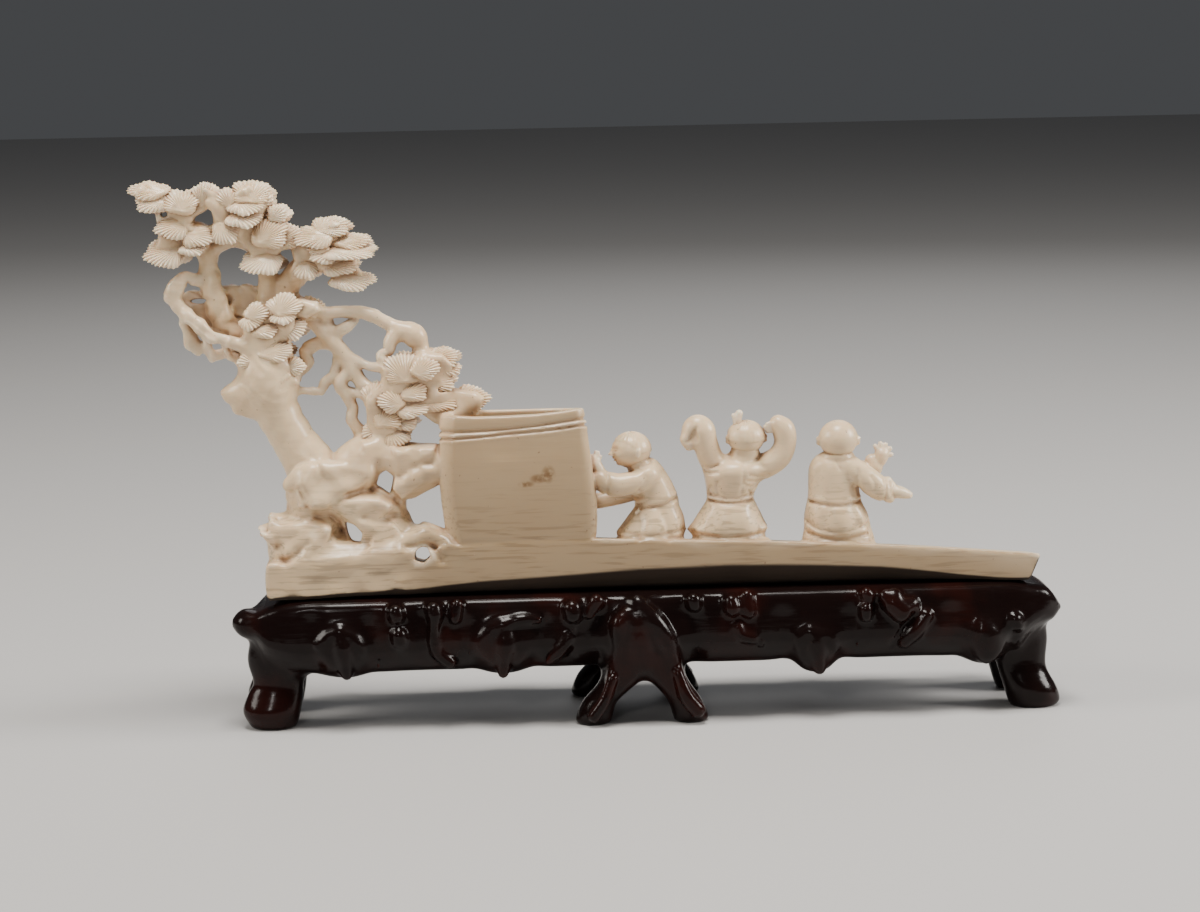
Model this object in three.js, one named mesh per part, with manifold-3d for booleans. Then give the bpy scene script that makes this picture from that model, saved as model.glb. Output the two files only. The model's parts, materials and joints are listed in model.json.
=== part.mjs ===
// Ivory group of a pine, a pierced rock, a water vat and three boys, carved in one piece from
// a slice of tusk, and the root-form hardwood stand that it rests on.
// Millimetres, +Z up. X runs along the group, pine at -X, and the boys turn their backs to -Y.
import * as THREE from 'three';
import { mergeVertices } from 'three/addons/utils/BufferGeometryUtils.js';
import Module from 'manifold-3d';

const wasm = await Module();
wasm.setup();

// Stand
const STAND_TOP = 32.3;
const APRON_FOOT = 13.4;
const APRON_BULGE = 1.7;
const STAND_FRONT_Y = -16;
const STAND_BACK_Y = 20.8;
const STAND_MIDDLE_Y = (STAND_FRONT_Y + STAND_BACK_Y) / 2;
const SCALLOPS = [-62, -24.5, 9.4, 52.3, 92];
const SCALLOP_DEPTH = 1.2;
const SCALLOP_WIDTH = 7;
const SCALLOP_STEP = 15;
const KNOT_SUNK = 0.45;
const MIDDLE_FOOT_OUT = 14.8;
const CORNER_FOOT_OUT = 9.6;

// Tusk slice that carries the carving
const SAWN_FACE_Y = -13;
const BACK_Y = 13.5;
const BASE_LEFT = -81.2;
const BASE_RIGHT = 107.2;
const BASE_TOP_AT_PINE = 41.5;
const BASE_TOP_AT_VAT = 45.6;
const BASE_TOP_AT_TIP = 39;
const BASE_DROOP = 1.4;
const BELLY_RISE = 5.7;
const BELLY_CREST_X = 32;

// Vat
const VAT_LEFT = -37;
const VAT_RIGHT = -3.8;
const VAT_FOOT = 44;
const VAT_RIM = 76.4;
const VAT_FLOOR = 52;
const VAT_WALL = 2.2;
const VAT_FRONT_Y = -13;
const VAT_MOUTH_BACK_Y = 1.6;
const VAT_BELLY_BACK_Y = 7.5;
const VAT_SWELL = 1.8;
const VAT_BEVEL = 3;
const VAT_RIM_RISE = 0.036;
const VAT_RIM_FALL = 0.045;
const GROOVE_DEPTH = 0.7;

// Boys
const BOY_Y = -6;
const ROBE_DEPTH = 0.78;
const ROBE_DEEPEST = 6.2;

// Pine
const WIDE_TUFT = 4.2;
const LONG_NEEDLE = 1.04;
const SHORT_NEEDLE = 0.88;
const TUFT_DOME = 1.5;
const TUFT_HUB = -0.35;
const TUFT_LEAN = 0.5;
const BACK_TUFT_Y = 3.4;
const STOUT_LIMB = 6;
const THIN_LIMB = 2.1;
const HEART_FULLNESS = 1.16;
const WEB_FROM_Y = 1.5;
const WEB_TO_Y = 4;

// Rock
const HOLE_Y = -4;
const HOLE_FALL = 9;

const FRONT = -1;
const BACK = 1;
const degrees = THREE.MathUtils.degToRad;
const smooth = THREE.MathUtils.smoothstep;
const lerp = THREE.MathUtils.lerp;

/** Turns a closed three.js geometry into a solid that can be joined and cut. */
function solidOf(geometry) {
  const bare = geometry.clone();
  bare.deleteAttribute('normal');
  bare.deleteAttribute('uv');
  const merged = mergeVertices(bare, 1e-4);
  const vertProperties = Float32Array.from(merged.getAttribute('position').array);
  const triVerts = Uint32Array.from(merged.index.array);
  return new wasm.Manifold(new wasm.Mesh({ numProp: 3, vertProperties, triVerts }));
}

/** Turns a joined solid back into a three.js geometry. */
function geometryOf(solid) {
  const { vertProperties, triVerts } = solid.getMesh();
  const geometry = new THREE.BufferGeometry();
  geometry.setAttribute('position', new THREE.Float32BufferAttribute(vertProperties, 3));
  geometry.setIndex(Array.from(triVerts));
  geometry.computeVertexNormals();
  return geometry;
}

/** Joins a list of solids in pairs, which keeps the intermediate pieces small. */
function join(solids) {
  let left = solids;
  while (left.length > 1) {
    const next = [];
    for (let i = 0; i < left.length; i += 2) {
      next.push(i + 1 < left.length ? left[i].add(left[i + 1]) : left[i]);
    }
    left = next;
  }
  return left[0];
}

/** Skin over a row of rings with equal point counts, closed by a point at the middle of each end. */
function loft(rings, startOut = 0, endOut = 0) {
  const count = rings[0].length;
  const vertices = rings.flat();
  const middle = (ring) => ring.reduce((sum, p) => sum.add(p), new THREE.Vector3())
    .divideScalar(count);
  const start = middle(rings[0]);
  const end = middle(rings[rings.length - 1]);
  const way = end.clone().sub(middle(rings[rings.length - 2])).normalize();
  const back = start.clone().sub(middle(rings[1])).normalize();
  vertices.push(start.addScaledVector(back, startOut), end.addScaledVector(way, endOut));
  const first = vertices.length - 2;
  const faces = [];
  for (let i = 0; i < count; i++) {
    const j = (i + 1) % count;
    for (let r = 0; r < rings.length - 1; r++) {
      const a = r * count;
      faces.push(a + i, a + j, a + count + j, a + i, a + count + j, a + count + i);
    }
    const last = (rings.length - 1) * count;
    faces.push(first, j, i, first + 1, last + i, last + j);
  }
  const geometry = new THREE.BufferGeometry().setFromPoints(vertices);
  geometry.setIndex(faces);
  return facingOut(geometry);
}

/** Turns the faces round where the signed volume is negative. */
function facingOut(geometry) {
  const p = geometry.getAttribute('position');
  const index = geometry.index.array;
  const [a, b, c] = [new THREE.Vector3(), new THREE.Vector3(), new THREE.Vector3()];
  let volume = 0;
  for (let i = 0; i < index.length; i += 3) {
    a.fromBufferAttribute(p, index[i]);
    b.fromBufferAttribute(p, index[i + 1]);
    c.fromBufferAttribute(p, index[i + 2]);
    volume += a.dot(b.cross(c));
  }
  if (volume < 0) {
    geometry.setIndex(Array.from(index).reverse());
  }
  return geometry;
}

/** Tapered limb through rows of [x, y, z, radius], with rounded ends. */
function limb(route, sides = 5, stepsPerSpan = 1) {
  const curve = new THREE.CatmullRomCurve3(route.map(([x, y, z]) => new THREE.Vector3(x, y, z)));
  const steps = Math.max(2, Math.round((route.length - 1) * stepsPerSpan));
  const rings = [];
  let side = new THREE.Vector3(0, 1, 0);
  for (let i = 0; i <= steps; i++) {
    const t = i / steps;
    const place = t * (route.length - 1);
    const k = Math.min(Math.floor(place), route.length - 2);
    const radius = lerp(route[k][3], route[k + 1][3], place - k);
    const centre = curve.getPoint(t);
    const along = curve.getTangent(t);
    side = side.clone().addScaledVector(along, -side.dot(along)).normalize();
    const other = along.clone().cross(side);
    rings.push(Array.from({ length: sides }, (_, s) => {
      const angle = 2 * Math.PI * (s + 0.5) / sides;
      return centre.clone()
        .addScaledVector(side, radius * Math.cos(angle))
        .addScaledVector(other, radius * Math.sin(angle));
    }));
  }
  const roundness = 0.6;
  return solidOf(loft(rings, route[0][3] * roundness, route[route.length - 1][3] * roundness));
}

/** Sides for a limb: a stout one is rounder. */
function sidesFor(route) {
  const stoutest = Math.max(...route.map((row) => row[3]));
  if (stoutest > STOUT_LIMB) {
    return 9;
  }
  return stoutest > THIN_LIMB ? 5 : 4;
}

/** Rounded boulder: a coarse ball stretched to three half sizes and turned about Y. */
function boulder([x, y, z], [rx, ry, rz], turn = 0, detail = 1) {
  const geometry = new THREE.IcosahedronGeometry(1, detail);
  geometry.applyMatrix4(new THREE.Matrix4().compose(
    new THREE.Vector3(x, y, z),
    new THREE.Quaternion().setFromAxisAngle(new THREE.Vector3(0, 1, 0), degrees(-turn)),
    new THREE.Vector3(rx, ry, rz),
  ));
  return solidOf(geometry);
}

/** Flat web: an outline of [x, z] points, from one depth to another. */
function web(outline, fromY, toY) {
  const shape = new THREE.Shape(outline.map(([x, z]) => new THREE.Vector2(x, z)));
  const geometry = new THREE.ExtrudeGeometry(shape, { depth: toY - fromY, bevelEnabled: false });
  geometry.rotateX(Math.PI / 2);
  geometry.translate(0, toY, 0);
  return solidOf(geometry);
}

/** Pierced hole with an elliptical mouth, which runs along Y and falls towards the back. */
function drilled([x, z], [rx, rz], turn = 0, sides = 8) {
  const geometry = new THREE.CylinderGeometry(1, 1, 60, sides);
  geometry.scale(rx, 1, rz);
  geometry.rotateY(degrees(-turn));
  geometry.rotateX(degrees(-HOLE_FALL));
  geometry.translate(x, HOLE_Y, z);
  return solidOf(geometry);
}

/** Ellipse of [x, y] points round a centre at height z, flattened towards a square by a power. */
function ovalRing(cx, cy, z, rx, ry, sides, squareness = 1) {
  return Array.from({ length: sides }, (_, i) => {
    const angle = 2 * Math.PI * i / sides;
    const c = Math.cos(angle);
    const s = Math.sin(angle);
    return new THREE.Vector3(
      cx + rx * Math.sign(c) * Math.abs(c) ** squareness,
      cy + ry * Math.sign(s) * Math.abs(s) ** squareness,
      z,
    );
  });
}

/**
 * Tuft of pine needles: a scalloped shell. Long and short rim points stand for the needle tips,
 * the hub lies opposite the way that the needles point, a tuft that shows low leans back, and
 * its underside narrows to a root in the middle plane of the tree.
 */
function tuft([x, y, z, halfWidth, halfHeight, turn], side = -1) {
  const needles = halfWidth > WIDE_TUFT ? 5 : 4;
  const rim = 2 * needles;
  const lean = TUFT_LEAN * Math.sqrt(Math.max(halfWidth ** 2 - halfHeight ** 2, 0));
  const point = (u, v, out) => new THREE.Vector3(
    x + u * halfWidth,
    y - side * v * lean + side * out,
    z + v * halfHeight,
  );
  const vertices = Array.from({ length: rim }, (_, i) => {
    const angle = 2 * Math.PI * i / rim;
    const reach = i % 2 ? SHORT_NEEDLE : LONG_NEEDLE;
    return point(reach * Math.cos(angle), reach * Math.sin(angle), 0);
  });
  const [u, v] = [TUFT_HUB * Math.cos(degrees(turn)), TUFT_HUB * Math.sin(degrees(turn))];
  const root = Math.abs(y) + TUFT_DOME;
  vertices.push(point(u, v, TUFT_DOME), point(u, v, -root));
  const faces = [];
  for (let i = 0; i < rim; i++) {
    const j = (i + 1) % rim;
    faces.push(i, j, rim, j, i, rim + 1);
  }
  const geometry = new THREE.BufferGeometry().setFromPoints(vertices);
  geometry.setIndex(faces);
  return solidOf(facingOut(geometry));
}

/** Height of the ledge that the boys stand on, which falls from the vat to the thin tip. */
function ledge(x) {
  const run = THREE.MathUtils.clamp((x - VAT_RIGHT) / (BASE_RIGHT - VAT_RIGHT), 0, 1);
  const left = lerp(BASE_TOP_AT_PINE, BASE_TOP_AT_VAT, smooth(x, BASE_LEFT, VAT_LEFT + 17));
  return x < VAT_RIGHT ? left : lerp(BASE_TOP_AT_VAT, BASE_TOP_AT_TIP, run ** BASE_DROOP);
}

/** How far the lower front edge is lifted off the stand, where the slice's belly rounds under. */
function bellyRise(x) {
  const left = x < BELLY_CREST_X;
  const span = left ? BELLY_CREST_X - BASE_LEFT : BASE_RIGHT - 7 - BELLY_CREST_X;
  const t = Math.min(Math.abs(x - BELLY_CREST_X) / span, 1);
  return 0.25 + BELLY_RISE * (1 - t ** (left ? 1.6 : 2.2));
}

/** Tusk slice: a flat sawn face, a ledge, a back that falls away and a rounded belly. */
function tuskSlice() {
  const rings = [];
  const steps = 12;
  for (let i = 0; i <= steps; i++) {
    const x = lerp(BASE_LEFT, BASE_RIGHT, i / steps);
    const top = ledge(x);
    const rise = bellyRise(x);
    const inset = i === 0 || i === steps ? 0.6 : 0;
    const tip = smooth(x, 60, BASE_RIGHT);
    const back = lerp(BACK_Y, BACK_Y - 4, tip);
    const undercut = i === steps ? 1.9 : 0;
    const section = [
      [SAWN_FACE_Y + inset, STAND_TOP + rise],
      [SAWN_FACE_Y + inset, top - 0.8],
      [SAWN_FACE_Y + 0.9, top],
      [-1, top - 2],
      [6, top - 3.6],
      [back - inset, Math.max(top - 7, STAND_TOP + 1.4)],
      [back - 1.2, STAND_TOP + 0.6 * rise],
      [back - 5, STAND_TOP],
      [-7, STAND_TOP],
      [-10.6, STAND_TOP + 0.25 * rise],
    ];
    rings.push(section.map(([y, z]) => {
      const low = (top - z) / (top - STAND_TOP);
      return new THREE.Vector3(x - undercut * low, y, z);
    }));
  }
  return solidOf(loft(rings));
}

/** Ring of the vat's wall at height z: flat and bevelled on the sawn side, bellied behind. */
function vatRing(z, shrink, outset = 0) {
  const t = THREE.MathUtils.clamp((z - VAT_FOOT) / (VAT_RIM - VAT_FOOT), 0, 1);
  const swell = Math.sin(Math.PI * (t * 0.9 + 0.02));
  const left = VAT_LEFT - VAT_SWELL * swell - outset + shrink;
  const right = lerp(VAT_RIGHT + 2.8, VAT_RIGHT, t) + 0.6 * VAT_SWELL * swell + outset - shrink;
  const front = VAT_FRONT_Y + 0.9 * smooth(t, 0.55, 1) - outset + shrink;
  const back = lerp(VAT_BELLY_BACK_Y, VAT_MOUTH_BACK_Y, smooth(t, 0.35, 1)) + outset - shrink;
  const deep = (back - front) * 0.42;
  const outline = [
    [left + VAT_BEVEL, front], [right - 0.7 * VAT_BEVEL, front], [right, front + VAT_BEVEL],
    [right, back - deep], [right - 4.5, back - deep * 0.25], [right - 11, back],
    [left + 11, back], [left + 4.5, back - deep * 0.25], [left, back - deep],
    [left, front + VAT_BEVEL],
  ];
  const high = t > 0.6 ? 1 : 0;
  const vatMiddle = (VAT_LEFT + VAT_RIGHT) / 2;
  return outline.map(([x, y]) => new THREE.Vector3(
    x,
    y,
    z + high * (VAT_RIM_RISE * (x - vatMiddle) - VAT_RIM_FALL * (y - VAT_FRONT_Y)),
  ));
}

/** Water vat: swelling wall with two grooves under the lip, open and empty. */
function vat() {
  const wall = [
    vatRing(VAT_FOOT + 0.2, 0), vatRing(50, 0), vatRing(57, 0), vatRing(64, 0), vatRing(69.6, 0),
    vatRing(70.3, 0, -GROOVE_DEPTH), vatRing(71, 0), vatRing(71.9, 0, 0.2),
    vatRing(72.6, 0, -GROOVE_DEPTH), vatRing(73.3, 0), vatRing(VAT_RIM, 0),
  ];
  const inside = [
    vatRing(VAT_FLOOR, VAT_WALL + 1), vatRing(VAT_FLOOR + 3, VAT_WALL),
    vatRing(64, VAT_WALL), vatRing(72, VAT_WALL), vatRing(VAT_RIM + 3, VAT_WALL - 0.5),
  ];
  return [solidOf(loft(wall)), solidOf(loft(inside))];
}

/** Skirt or jacket of a robe: oval rings given as rows of [x, z, half width]. */
function robe(rows, y = BOY_Y, sides = 7, depth = ROBE_DEPTH) {
  return solidOf(loft(rows.map(([x, z, r]) => {
    const half = Math.min(r * depth, ROBE_DEEPEST);
    return ovalRing(x, y, z, r, half, sides);
  })));
}

/** Boy who leans forward and pushes at the vat with both hands. */
function pushingBoy() {
  const torso = [[14.6, BOY_Y, 51.6, 5.2], [13.4, BOY_Y, 55.5, 5.5], [11.4, BOY_Y, 60, 4.2]];
  const nearArm = [[11, -8.6, 59.2, 2.9], [5.5, -9.4, 57.8, 2.8], [0.6, -9.2, 58.6, 2.4],
    [-0.4, -8.8, 62.4, 1.5], [-0.9, -8.4, 65, 0.9]];
  const farArm = [[11, -3.4, 57, 2.6], [5, -2.6, 54.2, 2.2], [-0.6, -3, 53.2, 1.9]];
  return [
    boulder([8.2, BOY_Y, 65.6], [5.2, 4.6, 4.5], 8),
    boulder([3.6, BOY_Y, 64.6], [1, 1.2, 0.9], 0, 0),
    limb(torso, 8),
    limb(nearArm),
    limb(farArm),
    robe([[12.5, 42, 8], [12.9, 46.4, 8.4], [13.6, 49.5, 7.2], [14.2, 52.4, 5.6],
      [14.2, 53.2, 5.3]]),
  ];
}

/** Boy with a topknot, seen from behind, with both arms thrown up in long sleeves. */
function cheeringBoy() {
  const leftArm = [[29.2, BOY_Y, 60.6, 3.3], [26.6, BOY_Y, 65.4, 3], [26, BOY_Y, 71, 3.3],
    [23.2, BOY_Y, 71.2, 3], [21.8, BOY_Y, 67.8, 2]];
  const rightArm = [[37.6, BOY_Y, 60.8, 3.1], [43.2, BOY_Y, 62.6, 2.8], [45.8, BOY_Y, 66.6, 2.6],
    [45.2, BOY_Y, 71, 2.9], [42.6, BOY_Y, 71.6, 1.8], [41, BOY_Y, 70.2, 1]];
  return [
    boulder([36.1, BOY_Y, 68.2], [4.9, 4.5, 3.9]),
    boulder([34, BOY_Y, 72.4], [1.2, 1.2, 1.7], 0, 1),
    boulder([36, BOY_Y + 4.2, 67.6], [0.8, 0.8, 0.8], 0, 0),
    limb(leftArm),
    limb(rightArm),
    robe([[32, 53.4, 5.3], [32.4, 56.4, 6.6], [32.7, 60.2, 7.3], [33.6, 62.8, 5],
      [34.6, 64.6, 3]]),
    robe([[31.8, 41.2, 8.2], [31.8, 45.4, 8.6], [31.8, 46.6, 9.6], [31.9, 50, 7.8],
      [32.1, 53, 5.8], [32.1, 54.3, 5.5]]),
  ];
}

/** Bald boy, seen from behind, with one open hand raised and the other held out. */
function clappingBoy() {
  const nearArm = [[62.4, BOY_Y - 2, 60.2, 2.9], [67, BOY_Y - 2, 56.2, 2.9],
    [70.6, BOY_Y - 1.6, 54, 2.8]];
  const nearHand = [[71.4, BOY_Y - 1.4, 54, 1.7], [76, BOY_Y - 1, 53, 0.6]];
  const farArm = [[61.6, BOY_Y + 4, 59.6, 2.6], [65.6, BOY_Y + 6, 58, 2.4],
    [68.4, BOY_Y + 6, 58.8, 2]];
  const farHand = [[68.4, BOY_Y + 6, 58.8, 1.1], [70, BOY_Y + 6, 61, 1.5],
    [70.8, BOY_Y + 6, 63.2, 0.9]];
  return [
    boulder([58.5, BOY_Y, 67.8], [5, 4.9, 4.7]),
    boulder([53.8, BOY_Y, 66.8], [0.7, 1, 1.4], 0, 0),
    boulder([63.3, BOY_Y, 67.2], [0.7, 1, 1.4], 0, 0),
    boulder([58.4, BOY_Y + 4.6, 67], [0.8, 0.8, 0.8], 0, 0),
    limb(nearArm),
    limb(nearHand, 5),
    limb(farArm),
    limb(farHand, 5),
    robe([[57.5, 51.4, 6.4], [57.5, 56, 6.5], [57.6, 60.4, 6], [58, 63, 4.2],
      [58.2, 64.6, 3]]),
    robe([[58.4, 39.4, 8.8], [58.3, 44.6, 8.3], [58.2, 45.6, 7.6], [58, 49.2, 7.8],
      [57.7, 52.2, 6.6], [57.6, 53.2, 6.4]]),
  ];
}

/** Trunk, limbs and loops of the pine, as rows of [x, y, z, radius]. */
const PINE_LIMBS = {
  trunk: [[-67.4, -1, 58, 7.6], [-70.4, -2, 64.5, 6.1], [-74.4, -2, 71, 5.3], [-77.8, -2, 78, 5.6],
    [-79.6, -2, 84, 7], [-79.6, -1, 89, 6.6], [-79.5, 0, 93, 5.2]],
  knag: [[-83, -2, 82, 5.2], [-87, -2, 81.6, 3.2], [-90.4, -2, 82, 0.8]],
  lowerKnag: [[-81, -2, 79, 4], [-86.4, -2, 78.2, 2]],
  leader: [[-79.5, 0, 93, 5], [-78, 1, 98.5, 4.6], [-78.6, 1, 106, 2.8], [-79, 1, 113, 2],
    [-79.8, 1, 122, 2.2]],
  rightLeader: [[-78, 1, 98, 3], [-75.6, 1, 104.6, 3], [-72.4, 1, 109.4, 3],
    [-66.5, 1, 113.5, 2.6], [-62.5, 1, 115.5, 2.2]],
  leftLeader: [[-82.5, 1, 92, 3.4], [-89, 1, 98, 3.2], [-92, 0, 106, 2.7], [-93, 0, 113.5, 2.2],
    [-95, 0, 121, 2.2]],
  fork: [[-93, 0, 112.5, 1.7], [-91, 0, 116.5, 1.5], [-86, 0, 118, 1.1], [-80, -2, 115.5, 1]],
  outerLoop: [[-92.5, 0, 109, 2], [-98, -1.6, 109.9, 1.6], [-101.2, -2, 107.4, 1.9],
    [-101, -2, 103, 1.8], [-98.6, -1.5, 97, 1.6], [-94, -1, 93, 1.4], [-87, -1, 90.8, 1.4],
    [-83, -1, 88.5, 2]],
  innerLoop: [[-101, -2, 104.5, 1.3], [-97.5, -4, 101.5, 1.3], [-93, -5, 97.2, 1.3],
    [-88, -5, 95, 1.3], [-83.5, -4, 93.5, 1.8]],
  arch: [[-73, 0, 101.4, 2], [-65, -1.6, 100.9, 1.4], [-57.5, -2, 100.8, 1.4],
    [-50, -2.4, 98.2, 1.8], [-44, -3, 95, 2.5], [-43.2, -3, 92.5, 1.9], [-42, -3, 89.5, 1.8]],
  archKnot: [[-47, -3, 96.4, 2], [-49, -4, 92.4, 1.7], [-51.8, -4, 90.2, 1], [-50, -5, 88, 1.4]],
  diagonal: [[-73, 2, 103.5, 2], [-69, 0, 99.2, 1.6], [-64.6, -1, 95, 1.6], [-61, -2, 91, 1.6],
    [-57.6, -2.6, 85, 1.5], [-53.5, -5, 81.5, 1.5]],
  crosspiece: [[-67.6, 0, 99.2, 0.9], [-65.5, 0, 99.8, 1.3], [-64, -1, 97, 1.4]],
  sprout: [[-63.5, -1, 95.4, 1.4], [-60.5, -2, 97, 1.5], [-57.5, -2, 98.6, 0.5]],
  shoulder: [[-60.5, -2, 90.5, 1.2], [-55, -3.4, 87.8, 1.1], [-48.5, -6, 87, 1.2]],
  drop: [[-61, -2, 91, 1.5], [-61, -2, 85, 1.4], [-59.4, -2, 79.5, 1.5], [-58.4, -2, 73.6, 1.5],
    [-55, -2, 68, 2.4]],
  rung: [[-59.5, -2, 81.5, 1.1], [-56, -4, 80.5, 1], [-52.5, -6, 79.5, 1.1]],
  ring: [[-62, -1, 91.5, 1.5], [-63.2, -1, 86, 1.1], [-67.5, -1, 81.8, 1], [-75, -1, 81, 1.2]],
  ringLobe: [[-63.5, 0, 92.4, 1.2], [-68.6, 1, 92, 1.9], [-70.6, 1, 88, 1.7], [-74, 1, 85, 1.4]],
  tipTwig: [[-99.5, 0, 125.6, 1.2], [-102.4, -0.6, 128.6, 1.1], [-105.4, -1.6, 130.2, 0.8]],
  lowTwig: [[-101, 0, 120, 1.6], [-101.4, -1, 117.4, 1.4]],
  rimTwig: [[-39, -3, 82, 1.8], [-35.4, -3.6, 80.4, 1.5], [-31.6, -4, 79.4, 1.2]],
};

/** Outline of the flat web behind the left loop, as [x, z]. */
const PINE_WEB = [[-100.4, 105.8], [-90, 107.4], [-84, 107.8], [-80, 106.6], [-78, 96], [-86, 91.4],
  [-95, 95.2], [-100.4, 101.4]];

/** Small holes pierced through the pine: [centre], [half sizes]. */
const PINE_SLOTS = [[[-95.6, 104.9], [2, 0.5]], [[-102.8, 125.8], [0.7, 0.7]]];

/** Solid heart of each crown, which its tufts grow from: [centre], [half sizes], turn. */
const CROWN_HEARTS = [
  [[-101, 0, 123], [4.2, 2.6, 5.4], 0],
  [[-95.6, 0, 127.6], [5, 2.2, 1.6], 0],
  [[-90, 0, 125], [2.3, 2.6, 6.4], 0],
  [[-83.6, 0, 124.6], [5.2, 3.6, 5.6], 0],
  [[-75.6, 0, 119.6], [4.6, 3, 2.6], -8],
  [[-69, 0, 118], [4.6, 2.4, 1.8], 0],
  [[-62.6, 0, 115], [6.4, 3.6, 5.2], -25],
  [[-69.6, 0, 115.6], [2.6, 2.2, 2.4], 0],
  [[-77.4, -1, 97.4], [4.6, 5.4, 8.6], 0],
  [[-45.6, -2, 81.6], [5.8, 5, 7.6], 10],
  [[-38.6, -2, 84.4], [5, 3.6, 4.6], -30],
  [[-49, -3, 73.4], [5.2, 4.4, 4.6], 0],
];

/** Tufts on the side that shows, crown by crown: [x, y, z, half width, half height, way]. */
const TUFTS = {
  left: [
    [-106, -3, 130.4, 4.8, 1.9, 172], [-105, -4, 127.5, 4.4, 1.9, 190],
    [-98.5, -4, 128, 4.4, 2.1, 95], [-92.5, -3, 129.4, 3, 2.9, 85],
    [-102.5, -4, 116.4, 5, 2.9, 205], [-100, -3, 121, 4.6, 2.6, 150],
    [-94, -4, 118.6, 3.8, 2.2, -12],
  ],
  middle: [
    [-83, -3, 129, 4.8, 3, 80], [-79.6, -2, 127, 2.9, 3.3, 10], [-83, -4, 126, 4.4, 1.9, -50],
    [-83.5, -5, 123.4, 4.1, 1.9, -55], [-85.6, -5, 120.8, 3.8, 2.2, -70],
    [-76.5, -5, 121, 3.6, 2.9, 30], [-72.5, -3, 120, 2.9, 2.2, 50],
    [-79.5, -4, 114.5, 4.6, 2.9, 225],
  ],
  right: [
    [-66.5, -3, 119.4, 3.4, 2.2, 110], [-63, -1, 121, 4, 2.2, 60], [-58, -2, 117.4, 4, 1.9, 40],
    [-58.6, -4, 115.4, 6.2, 1.6, 5], [-66, -5, 116.4, 3.8, 1.9, -60],
    [-58.6, -3, 109.6, 5.2, 2.8, -20], [-68.4, -3, 112, 2.4, 1.9, -90],
    [-62, -4, 112.4, 4, 2.4, -20],
  ],
  trunk: [
    [-74.6, -6, 103, 3.6, 3.4, 60], [-81.4, -5, 101.5, 3.3, 2.9, 20],
    [-72.6, -4, 98, 3.4, 3.3, -15], [-79.5, -6.5, 98, 3.4, 1.7, 0], [-70, 3, 103.5, 3.4, 2.6, 60],
    [-76.5, -7, 93, 3.9, 2.2, 10], [-83, -5.5, 91, 2.7, 2.1, 150], [-74, -6, 88.6, 3.6, 2.1, 20],
  ],
  lower: [
    [-47, -7, 87.5, 4.1, 3.4, 95], [-53, -6, 81, 3.6, 2.9, 20], [-38.6, -5, 85, 3.6, 2.7, -20],
    [-38, -2, 89.4, 4.6, 2.1, 10], [-45, -7, 79.6, 4.6, 2.6, 5],
    [-50.6, -7.4, 75.4, 3.6, 2.7, 20], [-38.4, -6, 78.8, 4.2, 2.5, 175],
    [-31, -5, 79.4, 4.4, 2.3, 15], [-48.6, -7, 71, 5.2, 1.9, 0],
  ],
};

/** Rock: boulders and tongues of stone, and the holes through it. */
const BOULDERS = [
  [[-68.4, -2.5, 55], [7.6, 8, 9.4], 12], [[-61, -3, 54.6], [7.4, 7.6, 8], -10],
  [[-53.2, -3.4, 64.2], [6.4, 6.4, 4.9], 4], [[-56, -4, 50.4], [9, 8, 6.4], -25],
  [[-70.4, -4, 45.4], [8.6, 8.4, 5.4], -8], [[-50, -5, 43.4], [13, 7.8, 4.4], 8],
];
const COARSE_BOULDERS = [
  [[-44.4, -3.4, 63.4], [7.4, 7, 5], 0], [[-74.6, -5.4, 43.4], [6, 7.4, 4], 0],
];
const TONGUES = [
  [[-70, -4, 47.6, 4.4], [-75.6, -4.4, 50, 2.6], [-79, -4.4, 51.3, 0.7]],
  [[-71, -4, 45.4, 5], [-77.4, -4.6, 47, 3], [-82, -4.6, 47.4, 0.8]],
  [[-68, -3, 62, 3], [-64.4, -3, 62.6, 1.8], [-60.4, -3, 62.6, 1.6]],
  [[-51.4, -4, 68, 2.4], [-45, -4, 66.6, 2], [-38, -4, 66.4, 2]],
  [[-46.4, -4, 62.6, 3.4], [-37.6, -4, 61.8, 2.9]],
  [[-60.6, -3, 66, 1.6], [-56, -3, 66.6, 3.2], [-52.6, -3, 67, 2.8]],
  [[-52, -4, 54, 4.2], [-50.4, -3, 58, 3.2], [-48, -3, 62, 3.4]],
  [[-49.6, -4, 51, 3.4], [-46, -6, 47.2, 2.2], [-41.5, -7, 46.6, 2], [-37, -8.4, 44.6, 2.4],
    [-32.5, -10.6, 42.6, 1.8]],
];
const ROCK_HOLES = [
  [[-51.9, 59], [2.2, 2.9], 20], [[-59.7, 46.4], [2.3, 2.7], 30], [[-43.4, 41], [2.1, 2.3], 0],
];

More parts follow.
